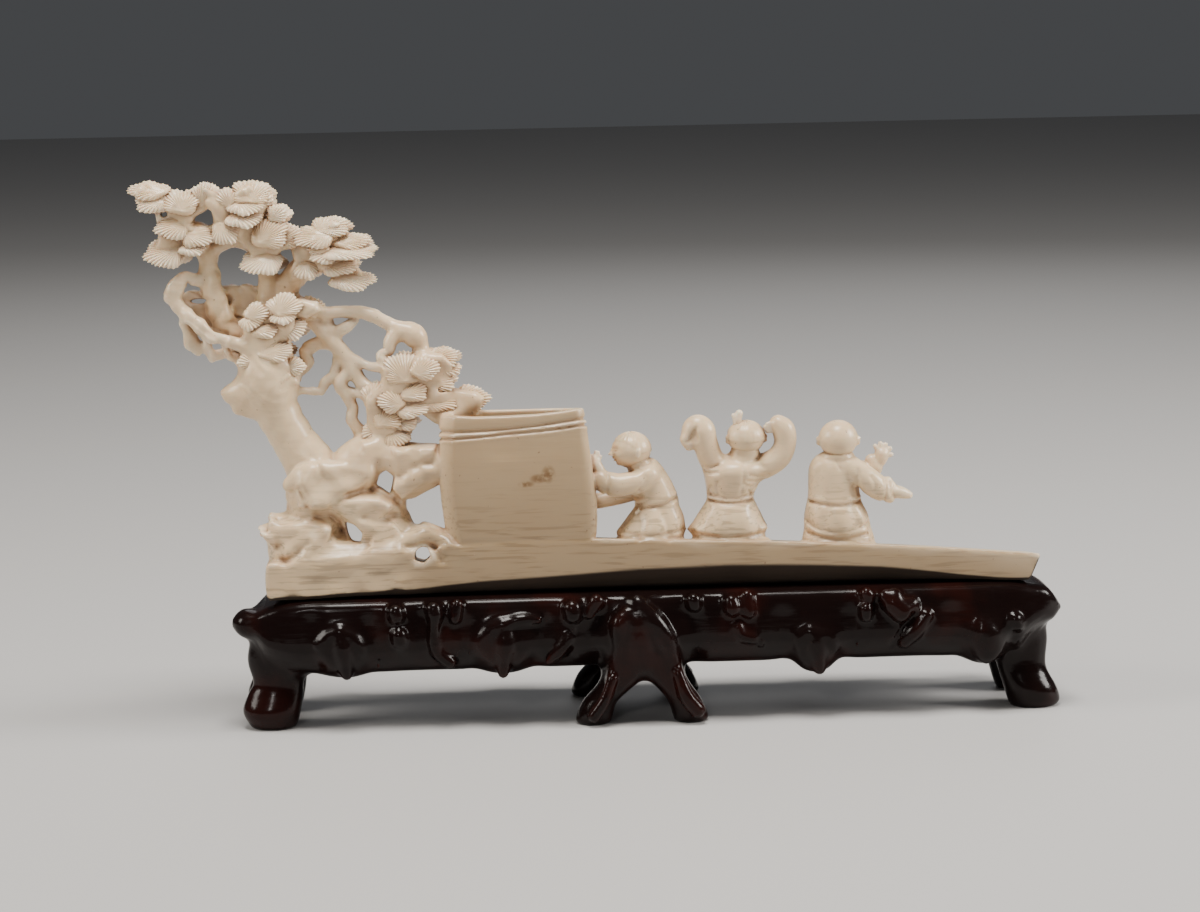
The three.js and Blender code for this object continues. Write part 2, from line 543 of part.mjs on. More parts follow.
/** The whole carving in one piece. */
function ivoryCarving() {
  const [vatBody, vatInside] = vat();
  const pine = [
    ...Object.values(PINE_LIMBS).map((route) => limb(route, sidesFor(route))),
    ...CROWN_HEARTS.map(([centre, size, turn]) => (
      boulder(centre, size.map((half) => half * HEART_FULLNESS), turn, 0)
    )),
    web(PINE_WEB, WEB_FROM_Y, WEB_TO_Y),
  ];
  const tufts = Object.values(TUFTS).flatMap((crown) => [
    ...crown.map((row) => tuft(row)),
    ...crown.filter((_, i) => i % 5 === 2).map(([x, , z, w, h, turn]) => (
      tuft([x + 1.2, BACK_TUFT_Y, z - 0.8, w * 0.92, h, turn], 1)
    )),
  ]);
  const rock = [
    ...BOULDERS.map(([centre, size, turn]) => boulder(centre, size, turn)),
    ...COARSE_BOULDERS.map(([centre, size, turn]) => boulder(centre, size, turn, 0)),
    ...TONGUES.map((route) => limb(route)),
  ];
  const slots = PINE_SLOTS.map(([centre, size]) => drilled(centre, size, 0, 6));
  const boys = [...pushingBoy(), ...cheeringBoy(), ...clappingBoy()];
  const holes = ROCK_HOLES.map(([centre, size, turn]) => drilled(centre, size, turn));
  const ground = join([tuskSlice(), ...rock]).subtract(join(holes));
  const growth = join([...pine, ...tufts]).subtract(join(slots));
  return join([ground, vatBody, ...boys]).subtract(vatInside).add(growth);
}

/** Stations of the stand's plan, left to right: [x, lowest z, top z, front edge y, back edge y]. */
const STAND_PLAN = [
  [-89, 25.4, 27, -9.5, -5.5], [-87.6, 23.4, 28.6, -11, -3.6], [-85, 22.2, 29.2, -12.4, -0.6],
  [-83.4, 20.6, 29.4, -13, 9], [-81, 16.6, 30.6, -13.8, 15], [-76, 14, 32, -15, 18.8],
  [-68, APRON_FOOT, STAND_TOP, STAND_FRONT_Y + 0.2, STAND_BACK_Y - 0.4],
  [-58, APRON_FOOT, STAND_TOP, STAND_FRONT_Y, STAND_BACK_Y],
  [86, APRON_FOOT, STAND_TOP, STAND_FRONT_Y, STAND_BACK_Y],
  [95, APRON_FOOT, STAND_TOP, STAND_FRONT_Y + 0.3, STAND_BACK_Y - 1.4],
  [101, 14, 32.1, -15, 16.4], [105, 18, 31.4, -14, 11], [108.6, 20.6, 30.4, -12.8, 2],
  [110.8, 21.6, 28.2, -11.4, -3], [112.5, 23.4, 25.6, -9.6, -5.4],
];

/** Places of the stand's front and back edge at x, read between the stations of its plan. */
function standEdges(x) {
  const next = Math.max(1, STAND_PLAN.findIndex((row) => row[0] >= x));
  const [x0, , , front0, back0] = STAND_PLAN[next - 1];
  const [x1, , , front1, back1] = STAND_PLAN[next];
  const t = (x - x0) / (x1 - x0);
  return [lerp(front0, front1, t), lerp(back0, back1, t)];
}

/** Ring round the stand at x: flat top, swelling apron and a chamfered lower edge. */
function standRing(x, low, high) {
  const [front, back] = standEdges(x);
  const bulge = APRON_BULGE * Math.min(1, (high - low) / 14);
  const under = Math.min(3.4, 0.3 * (back - front));
  const outline = [
    [0, high], [-bulge, lerp(high, low, 0.3)], [0.3 * under, lerp(high, low, 0.92)], [under, low],
  ];
  return [
    ...outline.map(([inset, z]) => new THREE.Vector3(x, front + inset, z)),
    ...outline.reverse().map(([inset, z]) => new THREE.Vector3(x, back - inset, z)),
  ];
}

/** Slab of the stand with its swelling apron, scalloped lower edge and rolled ends. */
function standSlab() {
  const rings = [];
  STAND_PLAN.forEach(([x, low, high], i) => {
    rings.push(standRing(x, low, high));
    const next = STAND_PLAN[i + 1];
    if (high < STAND_TOP || next[2] < STAND_TOP) {
      return;
    }
    const steps = Math.max(1, Math.round((next[0] - x) / SCALLOP_STEP));
    for (let k = 1; k < steps; k++) {
      const between = lerp(x, next[0], k / steps);
      const nearest = Math.min(...SCALLOPS.map((place) => Math.abs(between - place)));
      const drop = SCALLOP_DEPTH * (Math.exp(-((nearest / SCALLOP_WIDTH) ** 2)) - 0.4);
      rings.push(standRing(between, APRON_FOOT - drop, high));
    }
  });
  return solidOf(loft(rings));
}

/** One leg: oval rings from the flat sole up into the apron, as rows of [x, out, z, rx, ry]. */
function leg(rows, side) {
  return solidOf(loft(rows.map(([x, out, z, rx, ry]) => (
    ovalRing(x, STAND_MIDDLE_Y + side * out, z, rx, ry, 7)
  ))));
}

/** Knob, drop or ridge that stands out of the apron's face, along rows of [x, z, radius]. */
function knot(rows, side) {
  return limb(rows.map(([x, z, radius]) => {
    const edge = standEdges(x)[side === FRONT ? 0 : 1];
    return [x, edge + side * (APRON_BULGE - KNOT_SUNK * radius), z, radius];
  }), 4);
}

const [CORNER, MIDDLE] = [CORNER_FOOT_OUT, MIDDLE_FOOT_OUT];
const LEGS = {
  left: [[-80.6, CORNER, 0, 4.9, 3.4], [-81, CORNER, 1.6, 6.3, 4.8], [-81, CORNER, 6, 7, 5.4],
    [-79.2, CORNER - 0.4, 11, 6.6, 5], [-78.8, CORNER - 0.8, 17, 8, 5.2],
    [-77.6, CORNER - 1.4, 24, 7.4, 5]],
  middleLeft: [[-2.4, MIDDLE, 0, 3.6, 3.2], [-2.6, MIDDLE, 1.4, 4.5, 4.2],
    [-1, MIDDLE, 5.4, 4.5, 4.4], [3.4, MIDDLE, 10, 5, 4.6], [7.4, MIDDLE, 17, 6.4, 5]],
  middleRight: [[20.8, MIDDLE, 0, 3.6, 3.2], [21, MIDDLE, 1.4, 4.4, 4.2],
    [19.4, MIDDLE, 5.4, 4.3, 4.4], [16, MIDDLE, 10, 4.8, 4.6], [11.4, MIDDLE, 17, 6.4, 5]],
  right: [[106, CORNER, 0, 5.2, 3.4], [106.4, CORNER, 1.8, 6.5, 4.8],
    [105.4, CORNER, 5.6, 6.6, 5.2], [103, CORNER - 0.6, 11, 6.4, 4.8],
    [103, CORNER - 1.4, 17, 7.2, 4.8], [101.6, CORNER - 2, 24, 7.6, 4.6]],
};

/** Buds of the apron, on both sides, and the knots and hooks that only the front has. */
const BUDS = [
  [[-63.5, 25.3, 1.4], [-62.8, 20, 3], [-62.2, 14.4, 1.4]],
  [[-23.9, 24.4, 1.4], [-24.4, 19, 3], [-24.6, 13.6, 1.3]],
  [[10, 29, 2.2], [9.6, 21.6, 5], [9.4, 13, 4.4], [9.4, 9.4, 2.4]],
  [[50, 21.8, 1.6], [51.4, 17.4, 3.2], [52.4, 12.6, 1.4]],
  [[92.4, 23.4, 1.8], [93.6, 18.6, 3.2], [93.4, 14.6, 1.6]],
];
const FRONT_KNOTS = [
  [[-40.8, 30, 1.6], [-41, 24, 1.3], [-37.2, 16.4, 1.2]],
  [[-7.5, 29, 2], [-6.4, 26, 1.2]],
  [[34, 30.4, 2], [36, 27.4, 1.4]],
  [[68, 30, 2], [73, 29.4, 2.4]],
  [[78.6, 25.4, 1.4], [73, 18, 1.2]],
];

/** The whole stand in one piece: four pairs of feet, with the front carved more richly. */
function rootStand() {
  const parts = [standSlab()];
  for (const side of [FRONT, BACK]) {
    parts.push(...Object.values(LEGS).map((rows) => leg(rows, side)));
    parts.push(...BUDS.map((rows) => knot(rows, side)));
  }
  parts.push(...FRONT_KNOTS.map((rows) => knot(rows, FRONT)));
  return join(parts);
}

/** Named mesh with its finish. */
function piece(name, solid, color, roughness) {
  const material = new THREE.MeshStandardMaterial({ color, roughness, metalness: 0 });
  const mesh = new THREE.Mesh(geometryOf(solid), material);
  mesh.name = name;
  return mesh;
}

const group = new THREE.Group();
group.add(piece('ivory_carving', ivoryCarving(), 0xe2d3bb, 0.38));
group.add(piece('wood_stand', rootStand(), 0x24100c, 0.22));

// The origin is under the middle of the whole group, on the surface that the feet stand on.
const extent = new THREE.Box3().setFromObject(group);
const middle = extent.getCenter(new THREE.Vector3());
for (const mesh of group.children) {
  mesh.position.set(-middle.x, -middle.y, -extent.min.z);
}

export default group;
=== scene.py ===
# Ivory group of a pine, a pierced rock, a water vat and three boys, on its root-form stand.
import json
import math

import bpy
import numpy as np
import openvdb
from mathutils import Matrix

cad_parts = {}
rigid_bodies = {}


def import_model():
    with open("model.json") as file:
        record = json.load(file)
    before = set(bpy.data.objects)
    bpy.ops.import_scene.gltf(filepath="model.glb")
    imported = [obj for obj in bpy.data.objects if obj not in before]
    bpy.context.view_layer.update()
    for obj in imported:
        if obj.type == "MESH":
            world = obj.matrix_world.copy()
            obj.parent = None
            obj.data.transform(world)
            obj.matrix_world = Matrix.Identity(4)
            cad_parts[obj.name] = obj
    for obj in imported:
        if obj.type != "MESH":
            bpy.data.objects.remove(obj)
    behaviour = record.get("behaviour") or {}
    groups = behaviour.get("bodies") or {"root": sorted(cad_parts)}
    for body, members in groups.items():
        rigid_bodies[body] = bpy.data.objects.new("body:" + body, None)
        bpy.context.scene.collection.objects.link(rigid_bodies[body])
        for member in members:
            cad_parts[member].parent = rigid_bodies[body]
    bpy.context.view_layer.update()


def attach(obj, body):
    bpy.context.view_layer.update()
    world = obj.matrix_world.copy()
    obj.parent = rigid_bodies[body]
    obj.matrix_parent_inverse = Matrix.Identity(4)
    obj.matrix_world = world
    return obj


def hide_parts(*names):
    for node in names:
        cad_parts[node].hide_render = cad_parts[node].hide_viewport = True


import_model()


# Camera
# The photograph is taken from a little above the stand, almost square to the sawn face, with a
# long lens. The drawing's millimetres are measured from the centre line of the carving, and
# DRAWING_SHIFT takes them to the row's frame, where the group stands centred on its origin.
DRAWING_SHIFT = np.array([-1.338, -2.400, 0.0])
LENS_MM = 90.0
SENSOR_MM = 36.0
CAMERA_DISTANCE = 0.720
CAMERA_AZIMUTH = -2.5
CAMERA_ELEVATION = 9.0
CAMERA_ROLL = 1.1
CAMERA_AIM = (np.array([0.0, -14.0, 66.0]) + DRAWING_SHIFT) / 1000


def photograph_camera():
    """Camera on a ray from the aim point: azimuth about Z, elevation above level, then a roll."""
    azimuth = math.radians(CAMERA_AZIMUTH)
    elevation = math.radians(CAMERA_ELEVATION)
    roll = math.radians(CAMERA_ROLL)
    back = np.array([math.sin(azimuth) * math.cos(elevation),
                     -math.cos(azimuth) * math.cos(elevation),
                     math.sin(elevation)])
    right = np.cross(-back, [0, 0, 1])
    right /= np.linalg.norm(right)
    up = np.cross(right, -back)
    rolled_up = up * math.cos(roll) + right * math.sin(roll)
    rolled_right = right * math.cos(roll) - up * math.sin(roll)
    data = bpy.data.cameras.new("camera")
    data.lens = LENS_MM
    data.sensor_width = SENSOR_MM
    data.clip_start = 0.01
    camera = bpy.data.objects.new("camera", data)
    bpy.context.scene.collection.objects.link(camera)
    matrix = np.eye(4)
    matrix[:3, 0] = rolled_right
    matrix[:3, 1] = rolled_up
    matrix[:3, 2] = back
    matrix[:3, 3] = CAMERA_AIM + CAMERA_DISTANCE * back
    camera.matrix_world = Matrix(matrix.tolist())
    bpy.context.scene.camera = camera


photograph_camera()


# Floor and light
# A plain pale floor under a dim pale sky, with soft lamps at both sides and above, which light the
# edges of the round forms more than their fronts, and a small one in front for the wood's gloss.
FLOOR_SIZE = 6.0
FLOOR_COLOUR = (0.46, 0.45, 0.44, 1)
FLOOR_ROUGHNESS = 0.6
SKY_COLOUR = (0.92, 0.95, 1.0, 1)
SKY_STRENGTH = 0.07
LAMPS = [
    # name, place, aim, size, power, colour
    ("lamp_left", (-0.85, -0.18, 0.52), (-0.03, 0, 0.07), 0.36, 5.6, (1.0, 0.96, 0.90)),
    ("lamp_right", (0.85, -0.14, 0.46), (0, 0, 0.06), 0.36, 10.5, (1.0, 0.97, 0.93)),
    ("lamp_above", (-0.04, -0.20, 0.95), (0, 0, 0.06), 0.34, 12.2, (1.0, 0.965, 0.92)),
    ("lamp_front", (-0.22, -0.80, 0.44), (0, 0, 0.02), 0.10, 0.9, (1.0, 0.97, 0.94)),
    ("lamp_behind", (0.15, 0.9, 0.65), (0, 0, 0.06), 0.7, 1.6, (0.97, 0.98, 1.0)),
]


def plain_floor():
    """One square at z = 0."""
    half = FLOOR_SIZE / 2
    mesh = bpy.data.meshes.new("floor")
    mesh.from_pydata([(-half, -half, 0), (half, -half, 0), (half, half, 0), (-half, half, 0)], [],
                     [(0, 1, 2, 3)])
    material = bpy.data.materials.new("pale_floor")
    material.use_nodes = True
    shader = material.node_tree.nodes["Principled BSDF"]
    shader.inputs["Base Color"].default_value = FLOOR_COLOUR
    shader.inputs["Roughness"].default_value = FLOOR_ROUGHNESS
    mesh.materials.append(material)
    floor = bpy.data.objects.new("floor", mesh)
    bpy.context.scene.collection.objects.link(floor)


def soft_lamp(name, place, aim, size, power, colour):
    """Square area lamp at a place, facing an aim point."""
    data = bpy.data.lights.new(name, "AREA")
    data.size = size
    data.energy = power
    data.color = colour
    lamp = bpy.data.objects.new(name, data)
    bpy.context.scene.collection.objects.link(lamp)
    away = np.array(place, float) - np.array(aim, float)
    away /= np.linalg.norm(away)
    side = np.cross([0, 1, 0.001], away)
    side /= np.linalg.norm(side)
    matrix = np.eye(4)
    matrix[:3, 0] = side
    matrix[:3, 1] = np.cross(away, side)
    matrix[:3, 2] = away
    matrix[:3, 3] = place
    lamp.matrix_world = Matrix(matrix.tolist())


plain_floor()
for lamp_row in LAMPS:
    soft_lamp(*lamp_row)
sky = bpy.data.worlds.new("sky")
sky.use_nodes = True
sky.node_tree.nodes["Background"].inputs["Color"].default_value = SKY_COLOUR
sky.node_tree.nodes["Background"].inputs["Strength"].default_value = SKY_STRENGTH
bpy.context.scene.world = sky


# Ivory carving
# One solid sawn from a slice of tusk, flat in front, with the tusk's belly underneath. Its body is
# a field of distances, in which its forms swell into each other as under a carver's knife, and
# each needle tuft and head is a surface of two parameters that is then joined to it.
FAR = 4.0
PITCH = 0.31
IVORY_LOW = (-114.0, -18.0, 29.5)
IVORY_HIGH = (111.0, 18.0, 136.0)


class Field:
    """Distances in millimetres on a cubic grid: below 0 inside the solid, and FAR far outside."""

    def __init__(self, low, high, pitch):
        self.low = np.array(low)
        self.pitch = pitch
        size = np.ceil((np.array(high) - self.low) / pitch).astype(int) + 1
        self.distance = np.full(size, FAR, np.float32)

    def window(self, low, high):
        """The part of the grid between two corners: its slices, and x, y and z along its axes."""
        size = np.array(self.distance.shape)
        first = np.floor((np.array(low) - self.low) / self.pitch).astype(int)
        last = np.ceil((np.array(high) - self.low) / self.pitch).astype(int) + 1
        first = np.clip(first, 0, size - 1)
        last = np.clip(last, 1, size)
        axes = [(self.low[i] + self.pitch * np.arange(first[i], last[i])).astype(np.float32)
                for i in range(3)]
        slices = tuple(slice(a, b) for a, b in zip(first, last))
        return slices, np.meshgrid(*axes, indexing="ij", sparse=True)

    def add(self, shape, low, high, soft):
        """Joins a shape on, with a fillet as wide as soft."""
        slices, (x, y, z) = self.window(np.array(low) - FAR, np.array(high) + FAR)
        new = np.minimum(shape(x, y, z), FAR)
        self.distance[slices] = soft_min(self.distance[slices], new, soft)

    def cut(self, shape, low, high, soft):
        """Cuts a shape out, and rounds the new edge by soft."""
        slices, (x, y, z) = self.window(np.array(low) - soft, np.array(high) + soft)
        self.distance[slices] = -soft_min(-self.distance[slices], shape(x, y, z), soft)

    def engrave(self, path, width, depth, from_y, to_y):
        """
        Draws a line on the surface that faces -Y or +Y: the distances grow by depth times a bell
        curve of the distance from the path, and shrink for a raised line. Rows are (x, z).
        """
        line = flowing(path, 6)
        low = (line[:, 0].min() - 3 * width, from_y, line[:, 1].min() - 3 * width)
        high = (line[:, 0].max() + 3 * width, to_y, line[:, 1].max() + 3 * width)
        slices, (x, y, z) = self.window(low, high)
        nearest = np.full(np.broadcast_shapes(x.shape, z.shape), 1e9, np.float32)
        for a, b in zip(line[:-1], line[1:]):
            nearest = np.minimum(nearest, squared_gap(x, z, a, b))
        fade = np.clip(np.minimum(y - from_y, to_y - y) / 0.8, 0, 1)
        self.distance[slices] += depth * np.exp(-nearest / width ** 2) * fade

    def roughen(self, low, high, height, length):
        """
        Knife marks: the distances move by two crossed waves, each bent by the other's sines and
        so long, and a sharper wave of the distance along (1, 0.4, 0.8). It fades in the box's rim.
        """
        slices, (x, y, z) = self.window(low, high)
        turn = 2 * math.pi / length
        bend = np.sin(0.61 * turn * z + 1.3 * np.sin(0.37 * turn * x + 0.5)) + 0.6 * np.sin(turn * y)
        waves = np.sin(turn * x + 1.4 * bend) * np.sin(0.83 * turn * z + 1.1 * bend + 0.7)
        drawn = np.abs(np.sin(0.5 * turn * (x + 0.4 * y + 0.8 * z) + 1.2 * bend)) - 0.64
        fade = 1.0
        for axis, start, stop in zip((x, y, z), low, high):
            fade = fade * np.clip(np.minimum(axis - start, stop - axis) / 2.5, 0, 1)
        self.distance[slices] += height * (0.6 * waves - 0.7 * drawn) * fade

    def surface(self):
        """Points and triangles of the level 0, in millimetres, with every quad cut in two."""
        grid = openvdb.FloatGrid(background=FAR)
        grid.copyFromArray(np.ascontiguousarray(self.distance, np.float32))
        points, triangles, quads = grid.convertToPolygons(0.0, 0.0)
        halves = np.vstack([quads[:, [0, 1, 2]], quads[:, [0, 2, 3]]])
        points = self.low + self.pitch * points
        return points, outward(points, np.vstack([triangles, halves]).astype(np.int64))


def soft_min(a, b, k):
    """The smaller of two distances, less k times a parabola of their difference near equality."""
    h = np.clip(0.5 + 0.5 * (b - a) / k, 0, 1)
    return b + (a - b) * h - k * h * (1 - h)


def soft_max(a, b, k):
    """The larger of two distances, rounded the same way."""
    return -soft_min(-a, -b, k)


def squared_gap(x, z, a, b):
    """Squared distance in X and Z from the straight line between two corners."""
    way = b - a
    t = ((x - a[0]) * way[0] + (z - a[1]) * way[1]) / max(way @ way, 1e-9)
    t = np.clip(t, 0, 1)
    return (x - a[0] - t * way[0]) ** 2 + (z - a[1] - t * way[1]) ** 2


def read(table, at, index=1):
    """One column of a table, read between its rows at values of its first column."""
    return np.interp(np.ravel(at), table[:, 0], table[:, index]).reshape(np.shape(at))


def flowing(rows, steps):
    """Catmull-Rom curve through rows of any width, with so many steps in each span."""
    rows = np.array(rows, float)
    padded = np.vstack([2 * rows[0] - rows[1], rows, 2 * rows[-1] - rows[-2]])
    t = (np.arange(steps) / steps)[None, :, None]
    p0, p1, p2, p3 = (padded[i:len(padded) - 3 + i, None, :] for i in range(4))
    span = 0.5 * (2 * p1 + (p2 - p0) * t + (2 * p0 - 5 * p1 + 4 * p2 - p3) * t ** 2
                  + (3 * p1 - p0 - 3 * p2 + p3) * t ** 3)
    return np.vstack([span.reshape(-1, rows.shape[1]), rows[-1]])


def ball(centre, half, turn=0.0):
    """Shape of an ellipsoid turned about Y: q (q - 1) / |gradient of q|, where q is its radius."""
    cx, cy, cz = centre
    cosine = math.cos(math.radians(turn))
    sine = math.sin(math.radians(turn))

    def shape(x, y, z):
        u = ((x - cx) * cosine + (z - cz) * sine)
        v = y - cy
        w = (-(x - cx) * sine + (z - cz) * cosine)
        q = np.sqrt((u / half[0]) ** 2 + (v / half[1]) ** 2 + (w / half[2]) ** 2) + 1e-6
        slope = np.sqrt((u / half[0] ** 2) ** 2 + (v / half[1] ** 2) ** 2
                        + (w / half[2] ** 2) ** 2) + 1e-6
        return q * (q - 1) / slope

    return shape


def chain(rows):
    """Shape of a row of round cones, rows of (x, y, z, radius)."""
    def shape(x, y, z):
        nearest = None
        for a, b in zip(rows[:-1], rows[1:]):
            way = (b - a)[:3]
            t = ((x - a[0]) * way[0] + (y - a[1]) * way[1] + (z - a[2]) * way[2])
            t = np.clip(t / max(way @ way, 1e-9), 0, 1)
            gap = np.sqrt((x - a[0] - t * way[0]) ** 2 + (y - a[1] - t * way[1]) ** 2
                          + (z - a[2] - t * way[2]) ** 2) - (a[3] + t * (b[3] - a[3]))
            nearest = gap if nearest is None else np.minimum(nearest, gap)
        return nearest

    return shape


def add_limb(field, route, soft, steps=4):
    """Joins a tapered limb on, along a flowing curve through rows of (x, y, z, radius)."""
    rows = flowing(route, steps)
    reach = rows[:, 3:4]
    field.add(chain(rows), (rows[:, :3] - reach).min(0), (rows[:, :3] + reach).max(0), soft)


def add_ball(field, centre, half, turn=0.0, soft=1.4):
    """Joins an ellipsoid on."""
    reach = max(half[0], half[2]), half[1], max(half[0], half[2])
    field.add(ball(centre, half, turn), np.array(centre) - reach, np.array(centre) + reach, soft)


def column(rows, fold):
    """
    Shape of stacked ovals, rows of (x, y, z, half width, half depth) from the foot up: the
    oval's radius less 1, times its smaller half size. A fold adds to the radius.
    """
    rows = flowing(rows, 6)

    def shape(x, y, z):
        cx, cy, rx, ry = (np.interp(z.ravel(), rows[:, 2], rows[:, i]).reshape(z.shape)
                          for i in (0, 1, 3, 4))
        u = (x - cx) / rx
        v = (y - cy) / ry
        q = np.sqrt(u ** 2 + v ** 2)
        if fold is not None:
            q = q - fold(np.arctan2(v, u), z) / np.minimum(rx, ry)
        wall = (q - 1) * np.minimum(rx, ry)
        ends = np.maximum(rows[0, 2] - z, z - rows[-1, 2])
        return soft_max(wall, ends, 0.9)

    return shape


def add_column(field, rows, fold, soft=0.8):
    """Joins stacked ovals on."""
    table = np.array(rows, float)
    half = table[:, 3:5].max(0)
    low = (table[:, 0].min() - half[0] - 0.6, table[:, 1].min() - half[1] - 0.6, table[0, 2])
    high = (table[:, 0].max() + half[0] + 0.6, table[:, 1].max() + half[1] + 0.6, table[-1, 2])
    field.add(column(rows, fold), low, high, soft)


HOLE_AXIS_Y = -4.0
HOLE_SLOPE = math.tan(math.radians(9.0))


def sloping_hole(outline):
    """Shape of a hole with straight sides that runs along Y and falls towards the back."""
    corners = np.array(outline)
    middle = corners.mean(0)

    def shape(x, y, z):
        level = z + HOLE_SLOPE * (y - HOLE_AXIS_Y)
        rows = []
        for a, b in zip(corners, np.roll(corners, -1, axis=0)):
            way = (b - a) / np.hypot(*(b - a))
            away = np.array([way[1], -way[0]])
            away *= 1 if away @ (a - middle) > 0 else -1
            rows.append(away[0] * (x - a[0]) + away[1] * (level - a[1]))
        result = rows[0]
        for row in rows[1:]:
            result = soft_max(result, row, 0.5)
        return result

    return shape


def oval_hole(centre, half):
    """Shape of an oval hole that runs along Y and falls towards the back."""
    def shape(x, y, z):
        u = (x - centre[0]) / half[0]
        w = (z - (centre[1] - HOLE_SLOPE * (y - HOLE_AXIS_Y))) / half[1]
        return (np.sqrt(u ** 2 + w ** 2) - 1) * min(half)

    return shape


# The slice of tusk: a flat sawn face at the front, a ledge that falls from the vat to both ends,
# a back that falls away, and a belly that lifts its front edge off the stand.
SAWN_FACE_Y = -13.0
BACK_Y = 13.5
BASE_LEFT = -81.2
BASE_RIGHT = 107.2
STAND_TOP = 32.3
LEDGE = np.array([(-81.2, 41.5), (-60, 42.6), (-37, 44.8), (-20, 45.6), (-0.8, 45.6), (9.4, 45.1),
                  (23.9, 44.5), (33.6, 44.2), (48.2, 43.4), (62.9, 42.5), (72.6, 41.9),
                  (84.8, 40.9), (97.1, 39.8), (107.6, 38.9)])
BELLY = np.array([(-80.7, 32.9), (-68, 33.1), (-54, 33.7), (-42, 34.3), (-29.5, 35.5), (-10, 36.4),
                  (9, 37.6), (29, 38.0), (43, 37.8), (55, 37.3), (68, 36.5), (77, 35.4),
                  (87, 33.9), (97, 32.7), (105, 32.4)])
# How far the ledge falls, and how much of the belly's lift is left, from front to back.
LEDGE_FALL = np.array([(-12.6, 0), (-1, 1.8), (6, 3.4), (13.5, 7.2)])
BELLY_SHARE = np.array([(-13, 1), (-12, 0.62), (-10.6, 0.26), (-8, 0), (8, 0), (12.5, 0.7)])


def slice_shape(x, y, z):
    """Soft intersection of the sawn face, the back, the two ends, the ledge and the belly."""
    top = read(LEDGE, x)
    fall = read(LEDGE_FALL, y)
    foot = STAND_TOP + (read(BELLY, x) - STAND_TOP) * read(BELLY_SHARE, y)
    back = BACK_Y - 4 * np.clip((x - 60) / 47, 0, 1) ** 2
    front = SAWN_FACE_Y - y
    left = BASE_LEFT - x + 0.02 * (z - 37) ** 2
    right = x - BASE_RIGHT + 0.42 * (39 - z)
    ends = soft_max(left, right, 0.5)
    level = soft_max((z - top + fall) * 0.96, (foot - z) * 0.96, 0.7)
    sides = soft_max(front, (y - back) * 0.95, 1.0)
    return soft_max(soft_max(level, sides, 0.8), ends, 0.9)


# The rock at the pine's foot: swelling boulders, with tongues of stone, ridges that flow down over
# its face, gouged furrows, and holes through it. Ridges and tongues are (x, y, z, radius), and
# furrows are [(x, z), ...], width, depth.
BOULDERS = [
    ((-68.4, -2.5, 55), (7.6, 8, 9.4), 12), ((-61, -3, 54.6), (7.4, 7.6, 8), -10),
    ((-53.2, -3.4, 64.2), (6.4, 6.4, 4.9), 4), ((-56, -4, 50.4), (9, 8, 6.4), -25),
    ((-70.4, -4, 45.4), (8.6, 8.4, 5.4), -8), ((-50, -5, 43.4), (13, 7.8, 4.4), 8),
    ((-44.4, -3.4, 63.4), (7.2, 7, 4.8), 0), ((-74.6, -5.4, 43.4), (5.8, 7.2, 3.8), 0),
]
TONGUES = [
    [(-70, -4, 47.6, 4.4), (-75.6, -4.4, 50, 2.6), (-79, -4.4, 51.3, 0.7)],
    [(-71, -4, 45.4, 5), (-77.4, -4.6, 47, 3), (-82, -4.6, 47.4, 0.8)],
    [(-68, -3, 62, 3), (-64.4, -3, 62.6, 1.8), (-60.4, -3, 62.6, 1.6)],
    [(-51.4, -4, 68, 2.2), (-45, -4, 66.6, 1.9), (-38, -4, 66.4, 1.9)],
    [(-46.4, -4, 62.6, 3.4), (-37.6, -4, 61.8, 2.9)],
    [(-60.6, -3, 66, 1.6), (-56, -3, 66.6, 3.2), (-52.6, -3, 67, 2.8)],
    [(-52, -4, 54, 4.2), (-50.4, -3, 58, 3.2), (-48, -3, 62, 3.4)],
    [(-49.6, -4, 51, 3.4), (-46, -6, 47.2, 2.2), (-41.5, -7, 46.6, 2), (-37, -8.4, 44.6, 2.4),
     (-32.5, -10.6, 42.6, 1.8)],
    [(-76.4, -7.8, 38, 4.4), (-68, -7.8, 40.4, 5.2), (-56, -8, 41, 5), (-44, -8, 42.4, 4.6)],
]
